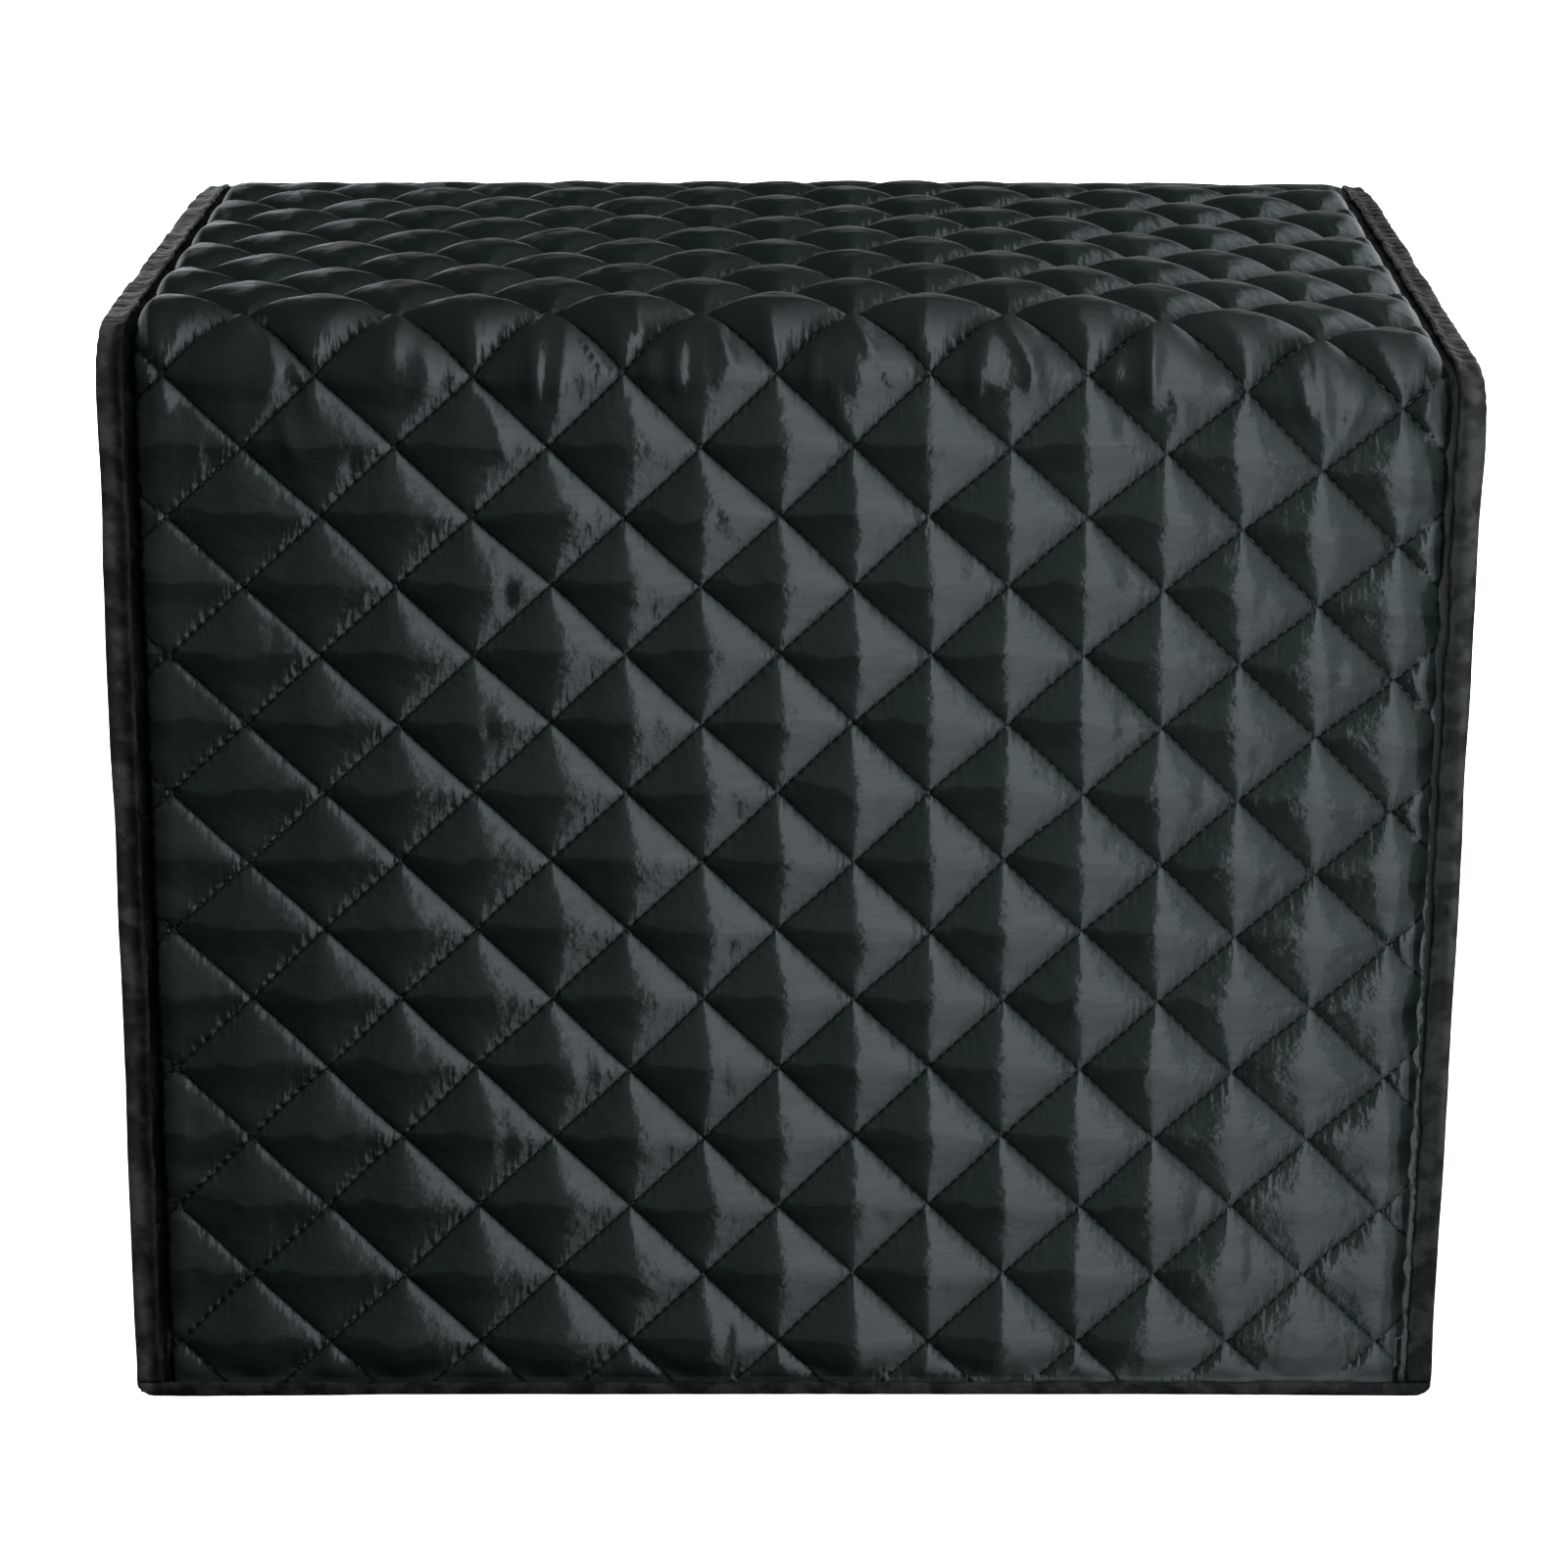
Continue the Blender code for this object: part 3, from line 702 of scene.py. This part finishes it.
def side_panel(side, material):
    shell = Shell()
    outer, outer_y, outer_ids, outer_runs = side_face(shell, side, SIDE_FINE, LIP_INSIDE, outer_x)
    inner, inner_y, inner_ids, inner_runs = side_face(shell, side, LINING, LIP_OUTSIDE, inner_x)
    runs = seam_runs(HEM_FLOOR, 150, 9, 120, 9, 150)
    uv = np.stack([np.full(len(runs), SEAM_COLUMN), row_at(runs)], 1)
    low, high = (
        shell.add(place(wrapped(side * RIM_X, runs, out)), uv) for out in (LIP_INSIDE, LIP_OUTSIDE)
    )
    shell.zip(outer_ids, outer_runs, low, runs)
    shell.quads(low, high)
    shell.zip(high, runs, inner_ids, inner_runs)
    shell.zip(outer[0], outer_y[0], inner[0], inner_y[0])
    for end in (0, -1):
        a, b, c, d = outer[0][end], low[end], high[end], inner[0][end]
        shell.faces.append(np.array([[a, b, c], [a, c, d]]))
    name = "side_panel_right_cloth" if side > 0 else "side_panel_left_cloth"
    return shell.piece(name, material, stitched_edges(shell, sum(len(line) for line in outer)))


def tape_section():
    """Rounded C of a folded tape, from one cut edge to the other: places across and outward."""
    inner_edge = HALF_WIDTH - TAPE_WIDTH
    outer_face = FACE + CLEAR + TAPE
    inner_face = LIP_INSIDE - CLEAR - TAPE
    bend = HALF_WIDTH - TAPE_FOLD

    def bent(face, radius, *degrees):
        turns = [math.radians(turn) for turn in degrees]
        return [(bend + TAPE_FOLD * math.sin(a), face - radius + radius * math.cos(a)) for a in turns]

    outside = [(inner_edge, outer_face - 0.5)]
    outside += [(x, outer_face) for x in np.linspace(inner_edge + 0.3, bend, 9)]
    outside += bent(outer_face, TAPE_FOLD, 30, 60, 90)
    outside.append((HALF_WIDTH, (outer_face + inner_face) / 2))
    outside += bent(inner_face, -TAPE_FOLD, 90, 60, 30, 0)
    outside += [(x, inner_face) for x in np.linspace(bend, inner_edge, 5)[1:]]
    rim = HALF_WIDTH - TAPE
    low, high = inner_face + TAPE, outer_face - TAPE
    inside = [(inner_edge, low), (rim - 0.3, low), (rim, low + 0.4)]
    inside += [(rim, high - 0.4), (rim - 0.3, high), (inner_edge, high)]
    return outside, inside


def seam_tape(side, material):
    """One seam tape: a bead along its inner edge, creases across it, and knots over the top."""
    outside, inside = tape_section()
    runs = seam_runs(HEM_HEIGHT + CLEAR, 330, 20, 300, 20, 240)
    seed = 50 if side > 0 else 60
    ends = clamp(np.minimum(runs - runs[0], runs[-1] - runs) / 6)
    on_top = clamp((runs - FRONT_FOLD + 6) / 14) * clamp((BACK_FOLD_END - runs) / 20)
    edge_wave = ripple(runs, 9, seed + 5, 0.45) + ripple(runs, 3.1, seed + 6, 0.25)
    rim_wave = ripple(runs, 24, seed + 3, 0.35)
    knot_shift = ripple(runs, 11, seed + 2, 0.5)
    middle = (outside[0][1] + inside[0][1] - TAPE) / 2
    shell = Shell()
    loops = []
    for k, (x, out) in enumerate(outside + inside):
        xs = np.full(len(runs), x)
        outs = np.full(len(runs), out)
        across = (x - (HALF_WIDTH - TAPE_WIDTH)) / TAPE_WIDTH
        if k < len(outside):
            slant = runs + 2.0 * across
            crease = ripple(slant, 7, seed, 0.28, across * 0.8)
            fine = ripple(slant, 3.0, seed + 1, 0.12, across * 1.6)
            knot = np.abs(np.sin(math.pi * (slant / KNOT_PITCH + knot_shift))) ** 0.6
            knot = knot * (0.75 + ripple(slant, KNOT_PITCH, seed + 7, 0.25))
            bead = 0.5 * bump(across - 0.1, 0.09) - 0.5 * bump(across - 0.45, 0.22)
            lift = bead + crease + fine + on_top * (0.6 * knot - 0.36)
            face_sign = 1.0 if out > middle else -1.0
            outs = outs + face_sign * lift * ends * (0.6 + 0.4 * across)
            xs = xs + across * ends * (rim_wave + on_top * (0.3 * knot - 0.2))
        if out > middle:
            outs = outs - pressed(runs) * (1 + 0.7 * across ** 2)
        xs = xs + (1 - across) ** 2 * edge_wave * ends - pressed(runs) * across ** 3
        uv = np.stack([np.full(len(runs), TAPE_COLUMN + 0.02 * k), row_at(runs)], 1)
        loops.append(shell.add(place(wrapped(side * xs, runs, outs)), uv))
    shell.strips(loops + loops[:1])
    for end in (0, -1):
        out_ids = [loop[end] for loop in loops[:len(outside)]]
        in_ids = [loop[end] for loop in loops[len(outside):]][::-1]
        shell.zip(out_ids, np.linspace(0, 1, len(out_ids)), in_ids, np.linspace(0, 1, len(in_ids)))
    return shell.piece("seam_tape_right" if side > 0 else "seam_tape_left", material)


def closed_outline(quarter, step, rounding):
    """Evenly spaced points round an outline given by its front right quarter, with rounded corners."""
    right = quarter + [(x, -y) for x, y in reversed(quarter)]
    corners = np.array(right + [(-x, y) for x, y in reversed(right)])
    kept = []
    for before, here, after in zip(np.roll(corners, 1, 0), corners, np.roll(corners, -1, 0)):
        back = before - here
        ahead = after - here
        room = min(rounding, 0.45 * np.hypot(*back), 0.45 * np.hypot(*ahead))
        start = here + back / np.hypot(*back) * room
        end = here + ahead / np.hypot(*ahead) * room
        for t in (0, 0.25, 0.5, 0.75, 1):
            kept.append((1 - t) ** 2 * start + 2 * t * (1 - t) * here + t ** 2 * end)
    kept = np.array(kept + [kept[0]])
    along = np.concatenate([[0], np.cumsum(np.hypot(*np.diff(kept, axis=0).T))])
    at = np.linspace(0, along[-1], round(along[-1] / step) + 1)[:-1]
    points = np.stack([np.interp(at, along, kept[:, k]) for k in range(2)], 1)
    ahead = np.roll(points, -1, 0) - np.roll(points, 1, 0)
    normal = np.stack([ahead[:, 1], -ahead[:, 0]], 1)
    normal /= np.hypot(*normal.T)[:, None]
    return points, normal, at / along[-1], at


def hem_tape(material):
    """The hem tape, folded up round the cut edges, with upright puckers between its stitches."""
    grow = CLEAR + TAPE
    ear_x = RIM_X + grow
    side_x = SIDE_OUT_X + grow
    front_y = FRONT_Y - FACE - grow
    ear_y = FRONT_Y - LIP_INSIDE + grow
    outer = [(ear_x, front_y), (ear_x, ear_y), (side_x, ear_y)]
    inner = [(SIDE_IN_X - grow, FRONT_Y + FACE + grow)]
    shell = Shell()

    def ring(points, z, shares):
        z = np.broadcast_to(z, len(points))
        uv = np.stack([shares * 30, z / DIAMOND_LENGTH], 1)
        ids = shell.add(place(settled(points[:, 0], points[:, 1], z)), uv)
        return np.append(ids, ids[0])

    points, normal, share, at = closed_outline(outer, 1.5, 2.2)
    pucker = ripple(at, 4.3, 71, 0.30) + ripple(at, 2.1, 72, 0.22)
    lift = 0.7 * clamp(1 - (points[:, 0] / 172) ** 2) + 0.35 * clamp(ripple(at, 37, 75))
    corner = 2.3 * bump(np.abs(points[:, 0]) - ear_x, 2.4)
    wave = ripple(at, 16, 73, 0.12)
    rings = []
    for z, draw, free in HEM_LEVELS:
        moved = points + normal * ((pucker + wave) * free - draw)[:, None]
        top_wave = ripple(at, 5.1, 74, 0.4) * (z > 3.0)
        height = z + top_wave + lift * (1 - z / 6) + corner * (1 - z / HEM_HEIGHT)
        rings.append(ring(moved, height, share))
    rings += [ring(points - normal * TAPE, z, share) for z in (HEM_HEIGHT - 0.1, TAPE)]
    in_points, in_normal, in_share, _ = closed_outline(inner, 5.0, 1.5)
    in_rings = [
        ring(in_points + in_normal * step, z, in_share)
        for step, z in ((TAPE, TAPE), (TAPE, HEM_HEIGHT), (0.0, HEM_HEIGHT), (0.0, 0.0))
    ]
    shell.strips(rings)
    shell.strips(in_rings)
    for far, near in ((rings[-1], in_rings[0]), (rings[0], in_rings[-1])):
        shell.zip(far, np.append(share, 1.0), near, np.append(in_share, 1.0))
    return shell.piece("hem_tape", material)


def stitches(name, lines, surface, material):
    """Short raised threads along the quilting lines.

    lines gives, for each stitch line, its (across, along) ends in quilt coordinates; surface places
    (column, row) points at a height over the cloth.
    """
    centres = []
    for start, end in np.array(lines):
        length = np.hypot(*((end - start) * (DIAMOND_WIDTH, DIAMOND_LENGTH)))
        number = int(length / STITCH_PITCH)
        if number < 2:
            continue
        share = (np.arange(number) + 0.5) / number
        half = STITCH_LENGTH / 2 / length
        for offset in (-half, -half * 0.55, half * 0.55, half):
            centres.append(start + (end - start) * (share + offset)[:, None])
    centres = [np.concatenate(centres[k::4]) for k in range(4)]
    lifts = (-STITCH_SINK, STITCH_RISE, STITCH_RISE, -STITCH_SINK)
    stations = [surface(*places.T, lift) for places, lift in zip(centres, lifts)]
    keep = np.all(np.isfinite(np.stack(stations)), axis=(0, 2))
    stations = [s[keep] for s in stations]
    along = stations[3] - stations[0]
    along /= np.linalg.norm(along, axis=1)[:, None]
    above = surface(*centres[1].T, STITCH_RISE + 1)[keep] - stations[1]
    above -= along * np.sum(above * along, axis=1)[:, None]
    above /= np.linalg.norm(above, axis=1)[:, None]
    beside = np.cross(along, above)
    radius = STITCH_RADIUS * METRES
    points = [stations[0]]
    for station in stations[1:3]:
        points += [station + above * radius, station + beside * radius,
                   station - above * radius, station - beside * radius]
    points.append(stations[3])
    cells = np.stack(points, 1)
    number = len(cells)
    pattern = []
    for k in range(4):
        after = (k + 1) % 4
        pattern += [(0, 1 + k, 1 + after), (1 + k, 5 + k, 5 + after), (1 + k, 5 + after, 1 + after),
                    (9, 5 + after, 5 + k)]
    shell = Shell()
    shell.add(cells.reshape(-1, 3), (0, 0))
    faces = np.array(pattern)[None] + (np.arange(number) * 10)[:, None, None]
    shell.faces.append(faces.reshape(-1, 3))
    return shell.piece(name, material)


def cut_lines(first_column, last_column, first_row, last_row):
    """Quilting lines of both directions, cut to a rectangle of the lattice."""
    lines = []
    for k in range(-40, 41):
        for slope in (1, -1):
            ends = [(k + 0.5 + slope * row, row) for row in (first_row, last_row)]
            clipped = []
            for (column, row), (other_column, other_row) in zip(ends, reversed(ends)):
                limit = min(max(column, first_column), last_column)
                if limit != column:
                    row = row + (limit - column) / (other_column - column) * (other_row - row)
                clipped.append((limit, row))
            (c0, r0), (c1, r1) = clipped
            in_columns = first_column - 1e-6 <= (c0 + c1) / 2 <= last_column + 1e-6
            in_rows = first_row - 1e-6 <= min(r0, r1) and max(r0, r1) <= last_row + 1e-6
            if in_columns and in_rows and abs(r1 - r0) > 0.05:
                lines.append(clipped)
    return lines


def main_surface(column, row, lift):
    """Points on the main panel's outer face, or nan where it has no stitches."""
    run = row_run(row)
    x = FIRST_COLUMN_X + DIAMOND_WIDTH * column * spread_at(row)
    points = place(wrapped(*drifted(x, run), panel_out(x, run, column, row) + lift))
    outside = (np.abs(x) > SEAM_X - 2) | (run < HEM_LINE + 1) | (run > FULL_RUN - HEM_LINE - 1)
    points[outside] = np.nan
    return points


def side_surface(side):
    def surface(column, row, lift):
        y = column * DIAMOND_WIDTH
        z = FIRST_ROW_RUN + DIAMOND_LENGTH * row
        x = SIDE_OUT_X + side_out(y, z) + lift
        points = place(settled(side * x, y, z))
        points[(inset_distance(y, z) < 2) | (z < HEM_LINE + 1)] = np.nan
        return points

    return surface


# ---- materials


class Nodes:
    """The nodes of one new material."""

    def __init__(self, name):
        self.material = bpy.data.materials.new(name)
        self.material.use_nodes = True
        self.tree = self.material.node_tree
        self.shader = self.tree.nodes["Principled BSDF"]

    def link(self, source, target):
        """Joins an output to an input, or sets a number or a colour on it."""
        if isinstance(source, (int, float)):
            target.default_value = source
        elif isinstance(source, tuple):
            target.default_value = (*source, 1.0)
        else:
            self.tree.links.new(source, target)

    def fill(self, node, **inputs):
        for name, source in inputs.items():
            self.link(source, node.inputs[name.replace("_", " ")])

    def new(self, kind, operation=None, **inputs):
        node = self.tree.nodes.new("ShaderNode" + kind)
        if operation:
            node.operation = operation
        self.fill(node, **inputs)
        return node

    def math(self, operation, *values):
        node = self.new("Math", operation)
        for value, socket in zip(values, node.inputs):
            self.link(value, socket)
        return node.outputs[0]

    def plus(self, first, second):
        return self.math("ADD", first, second)

    def minus(self, first, second):
        return self.math("SUBTRACT", first, second)

    def times(self, first, second):
        return self.math("MULTIPLY", first, second)

    def over(self, first, second):
        return self.math("DIVIDE", first, second)

    def position(self):
        """Where a point is on the part, in metres."""
        return self.new("TexCoord").outputs["Object"]

    def split(self, vector):
        return tuple(self.new("SeparateXYZ", Vector=vector).outputs)

    def vector(self, x, y, z=0.0):
        return self.new("CombineXYZ", X=x, Y=y, Z=z).outputs[0]

    def noise(self, vector, detail, scale=1.0, roughness=0.5):
        node = self.new("TexNoise", Vector=vector, Scale=scale, Detail=detail, Roughness=roughness)
        return node.outputs["Fac"]

    def ramp(self, value, low, high, to_low=0.0, to_high=1.0):
        node = self.new("MapRange", Value=value)
        node.interpolation_type = "SMOOTHSTEP"
        self.fill(node, From_Min=low, From_Max=high, To_Min=to_low, To_Max=to_high)
        return node.outputs[0]

    def scaled(self, colour, level):
        return self.new("VectorMath", "SCALE", Vector=colour, Scale=level).outputs[0]

    def mix_colour(self, share, first, second):
        node = self.new("Mix", Factor=share)
        node.data_type = "RGBA"
        for name, colour in (("A", first), ("B", second)):
            socket = [s for s in node.inputs if s.name == name and s.type == "RGBA"][0]
            self.link(colour, socket)
        return [s for s in node.outputs if s.type == "RGBA"][0]

    def bump(self, height, distance, below=None):
        node = self.new("Bump", Strength=1.0, Distance=distance, Height=height)
        if below is not None:
            self.link(below, node.inputs["Normal"])
        return node.outputs["Normal"]


def satin(name, thread_axis, main=False):
    """Near-black satin whose shine runs across its threads, puckered along the quilting lines.

    main adds what only the main panel has: the painted shade in the grooves at its seams and the painted
    shading of its front's pillows.
    """
    n = Nodes(name)
    uv = n.new("UVMap")
    uv.uv_map = "quilt"
    column, row, _ = n.split(uv.outputs[0])
    across = n.times(column, DIAMOND_WIDTH)
    along = n.times(row, DIAMOND_LENGTH)
    falls = n.plus(column, row)
    rises = n.minus(column, row)
    line_gap = 1 / math.hypot(1 / DIAMOND_WIDTH, 1 / DIAMOND_LENGTH)

    def from_line(value):
        """How far in mm a point is from the quilting lines of one direction."""
        return n.times(n.math("ABSOLUTE", n.minus(n.math("FRACT", value), 0.5)), line_gap)

    def patches(width, length, layer, detail):
        """Noise with patches of a width and length in mm."""
        return n.noise(n.vector(n.over(across, width), n.over(along, length), layer), detail)

    falling = from_line(falls)
    rising = from_line(rises)
    near_rising = n.ramp(rising, 0.3, 6.5, 1.0, 0.0)
    near_falling = n.ramp(falling, 0.3, 4.0, 0.55, 0.0)
    puckers = n.times(patches(1.9, 8.0, 0.0, 1.0), n.math("MAXIMUM", near_rising, near_falling))
    slub = patches(16.0, 0.8, 0.0, 2.0)
    ticks = n.ramp(n.math("SINE", n.times(falls, 2 * math.pi * DIAMOND_SIDE / STITCH_PITCH)), -1.0, 1.0)
    ticks = n.times(ticks, n.ramp(rising, 0.2, 2.4, 1.0, 0.0))
    ticks = n.times(ticks, n.ramp(column, 0.5, 3.0, 1.0, 0.35))
    over_top = n.times(n.ramp(row, 0.5, 1.1), n.ramp(row, 6.6, 7.0, 1.0, 0.0))
    slub_here = n.times(slub, n.minus(1.0, n.times(over_top, 0.8)))
    normal = n.bump(patches(6.0, 5.0, 3.0, 3.0), CRUMPLE_DEPTH)
    normal = n.bump(puckers, PUCKER_DEPTH, below=normal)
    normal = n.bump(ticks, TICK_DEPTH, below=normal)
    normal = n.bump(slub_here, SLUB_DEPTH, below=normal)

    shade = n.ramp(patches(30.0, 26.0, 7.0, 2.0), 0.3, 0.7)
    colour = n.mix_colour(shade, SATIN_DARK, SATIN_PALE)
    # darker along the quilting lines: partly the thread's own colour, partly painted shade in the sunk
    # lines
    thread = n.ramp(n.math("MINIMUM", falling, rising), 0.15, 0.9, 1.0, 0.0)
    colour = n.mix_colour(thread, colour, SATIN_THREAD_AND_SHADE)
    # painted shade: the satin is darker over the top, standing in for less light falling there
    colour = n.mix_colour(n.times(over_top, 0.35), colour, SATIN_TOP_SHADE)
    roughness = n.ramp(slub, 0.3, 0.7, 0.37, 0.43)
    if main:
        # painted shading: the front's pillows are lighter over their middles and darkest just below, as
        # if lit from above
        colour = n.scaled(colour, front_painted_shading(n, falls, rises, row, patches(12.0, 40.0, 5.0, 1.0)))
        # painted shade: a ragged near-black band in the grooves beside the seams
        ragged = n.noise(n.vector(4.0, n.over(along, 3.5)), 2.0)
        edge = n.plus(n.math("ABSOLUTE", n.split(n.position())[0]), n.times(ragged, 0.0034))
        groove = n.ramp(edge, SEAM_X * METRES + 0.0008, SEAM_X * METRES + 0.0018)
        colour = n.mix_colour(groove, colour, SATIN_GROOVE_SHADE)
        roughness = n.math("MAXIMUM", roughness, n.times(groove, 0.95))
        roughness = n.minus(roughness, n.times(over_top, 0.10))
    cross = n.new("VectorMath", "CROSS_PRODUCT", Vector=n.new("NewGeometry").outputs["Normal"])
    cross.inputs[1].default_value = thread_axis
    n.fill(n.shader, Base_Color=colour, Roughness=roughness, Normal=normal, Tangent=cross.outputs[0],
           IOR=1.45, Specular_IOR_Level=0.42, Anisotropic=1.0)
    return n.material


def front_painted_shading(n, falls, rises, row, wave):
    """Painted shading of the front's pillows: lighter over a wavy line at half their height, darkest just
    below it, as if lit from above.
    """
    fall_part = n.math("FRACT", n.plus(falls, 0.5))
    rise_part = n.math("FRACT", n.plus(rises, 0.5))
    up = n.times(n.minus(fall_part, rise_part), 0.5)
    upper = n.ramp(n.plus(up, n.times(n.minus(wave, 0.5), 0.22)), 0.030, 0.050)
    lower_shading = n.ramp(up, -0.30, 0.04, LOWEST_PAINTED_SHADING, DARKEST_PAINTED_SHADING)
    shading = n.plus(lower_shading, n.times(upper, n.minus(UPPER_PAINTED_SHADING, lower_shading)))
    on_front = n.ramp(row, 0.30, 0.50, 1.0, 0.0)
    return n.plus(1.0, n.times(on_front, n.minus(shading, 1.0)))


def tape_material(name):
    """Soft black tape, paler in worn patches, and paler toward its folded rim as a painted highlight."""
    n = Nodes(name)
    position = n.position()
    fine = n.noise(position, 3.0, 900.0, 0.6)
    broad = n.noise(position, 2.0, 140.0)
    # painted highlight: the outer half of the tape turns paler toward its folded rim
    rim_starts = (HALF_WIDTH - 0.5 * TAPE_WIDTH) * METRES
    rim = n.ramp(n.math("ABSOLUTE", n.split(position)[0]), rim_starts, HALF_WIDTH * METRES - 0.0008)
    dark = n.mix_colour(rim, TAPE_DARK, TAPE_RIM_HIGHLIGHT_DARK)
    pale = n.mix_colour(rim, TAPE_PALE, TAPE_RIM_HIGHLIGHT_PALE)
    colour = n.mix_colour(n.ramp(broad, 0.40, 0.62), dark, pale)
    normal = n.bump(fine, TAPE_FINE_DEPTH, below=n.bump(broad, TAPE_BROAD_DEPTH))
    roughness = n.ramp(fine, 0.3, 0.7, 0.42, 0.62)
    n.fill(n.shader, Base_Color=colour, Roughness=roughness, Normal=normal, Specular_IOR_Level=0.06)
    return n.material


def thread_material(name):
    n = Nodes(name)
    colour = n.mix_colour(n.noise(n.position(), 1.0, 2500.0), THREAD_DARK, THREAD_PALE)
    n.fill(n.shader, Base_Color=colour, Roughness=0.45, Specular_IOR_Level=0.3)
    return n.material


def floor_material():
    """A ground that glows white, so that it shows no shadow, as in the photo."""
    n = Nodes("pale_floor")
    n.fill(n.shader, Base_Color=(0.86, 0.86, 0.86), Roughness=0.9, Specular_IOR_Level=0.1,
           Emission_Color=(1.0, 1.0, 1.0), Emission_Strength=1.0)
    return n.material


# ---- the scene


def area_light(mirrored, name, place_at, aim, size, power, colour=(1.0, 1.0, 1.0)):
    data = bpy.data.lights.new(name, "AREA")
    data.shape = "RECTANGLE"
    data.size, data.size_y = size
    data.energy = power
    data.color = colour
    lamp = linked(name, data)
    lamp.location = place_at
    direction = np.array(aim) - np.array(place_at)
    lamp.rotation_euler = Vector(direction).to_track_quat("-Z", "Y").to_euler()
    lamp.visible_camera = False
    lamp.visible_glossy = mirrored


def camera():
    data = bpy.data.cameras.new("view")
    data.sensor_width = 36.0
    data.lens = 108.47
    made = linked("view", data)
    made.location = (-0.0021, -1.3818, 0.5429)
    made.rotation_euler = (math.radians(90 - 16.11), 0.0, 0.0)
    bpy.context.scene.camera = made


camera()
front_satin = satin("satin_front", (1.0, 0.0, 0.0), main=True)
side_satin = satin("satin_side", (0.0, 1.0, 0.0))
tape = tape_material("binding")
thread = thread_material("thread")

main = main_panel(front_satin)
first_line = row_at(THREAD_FROM_HEM)
main_lines = cut_lines(*MAIN_COLUMNS, first_line, row_at(FULL_RUN - THREAD_FROM_HEM))
main_thread = stitches("main_panel_stitches", main_lines, main_surface, thread)
pieces = [(main, "main_panel", "quilted_satin"), (main_thread, None, "quilted_satin")]
for word, side in (("left", -1), ("right", 1)):
    cloth = side_panel(side, side_satin)
    lines = cut_lines(*SIDE_COLUMNS, first_line, row_at(HEIGHT - THREAD_FROM_TOP))
    seams = stitches("side_panel_" + word + "_stitches", lines, side_surface(side), thread)
    bound = seam_tape(side, tape)
    pieces += [
        (cloth, "side_panel_" + word, "quilted_satin"),
        (seams, None, "quilted_satin"),
        (bound, "seam_binding_" + word, "binding_tape"),
    ]
hem = hem_tape(tape)
pieces.append((hem, "hem_binding", "binding_tape"))
for made, node, slot in pieces:
    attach(made, "root")
    if node:
        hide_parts(node)

floor_mesh = bpy.data.meshes.new("floor")
corners = [(x * FLOOR_HALF, y * FLOOR_HALF, 0) for x, y in ((-1, -1), (1, -1), (1, 1), (-1, 1))]
floor_mesh.from_pydata(corners, [], [(0, 1, 2, 3)])
floor_mesh.materials.append(floor_material())
floor = linked("floor", floor_mesh)
floor.visible_glossy = False
floor.visible_diffuse = False

# Each light's name, place, aim, size and power, first those that the satin mirrors
MIRRORED_LIGHTS = [
    ("key", (0.175, -0.395, 0.42), (0.08, -0.135, 0.42), (0.20, 1.1), 2.7, COOL),
    ("key_edge", (0.41, -0.40, 0.42), (0.08, -0.135, 0.42), (0.25, 1.1), 1.7, COOL),
    ("back_right", (0.62, 0.60, 0.70), (0.16, 0, 0.30), (0.26, 0.6), 1.8, COOL),
    ("front", (0, -2.3, 1.05), (0, 0, 0.15), (4.2, 0.8), 2, COOL),
    ("backdrop", (0, 2.6, 0.50), (0, 0, 0.25), (5, 0.7), 24.0),
    ("rear", (-0.40, 1.1, 0.30), (0, 0.13, 0.20), (0.25, 0.9), 1.8, COOL),
    ("side_left", (-1, 0.40, 0.30), (-0.18, 0, 0.18), (0.25, 0.9), 2, COOL),
    ("side_right", (1, 0.40, 0.30), (0.18, 0, 0.18), (0.25, 0.9), 2, COOL),
]
OTHER_LIGHTS = [
    ("fill", (0, -1.6, 1.95), (0, -0.1, 0.15), (1.8, 1.2), 78.0),
    ("left_fill", (-2.2, 0.5, 1), (0, 0, 0.15), (1.6, 1.4), 24.0),
    ("right_fill", (2.2, 0.5, 1), (0, 0, 0.15), (1.6, 1.4), 20.0),
    ("rear_fill", (0, 2.2, 1.5), (0, 0, 0.1), (2, 1.6), 40.0),
    ("far", (0, 3, 2.6), (0, 3, 0), (4, 3), 130.0),
]
for mirrored, lights in ((True, MIRRORED_LIGHTS), (False, OTHER_LIGHTS)):
    for light in lights:
        area_light(mirrored, *light)
world = bpy.data.worlds.new("studio")
world.use_nodes = True
sky = world.node_tree.nodes["Background"]
sky.inputs["Color"].default_value = (0.95, 0.97, 1.0, 1.0)
sky.inputs["Strength"].default_value = 0.015
bpy.context.scene.world = world
bpy.context.scene.view_settings.view_transform = "Standard"
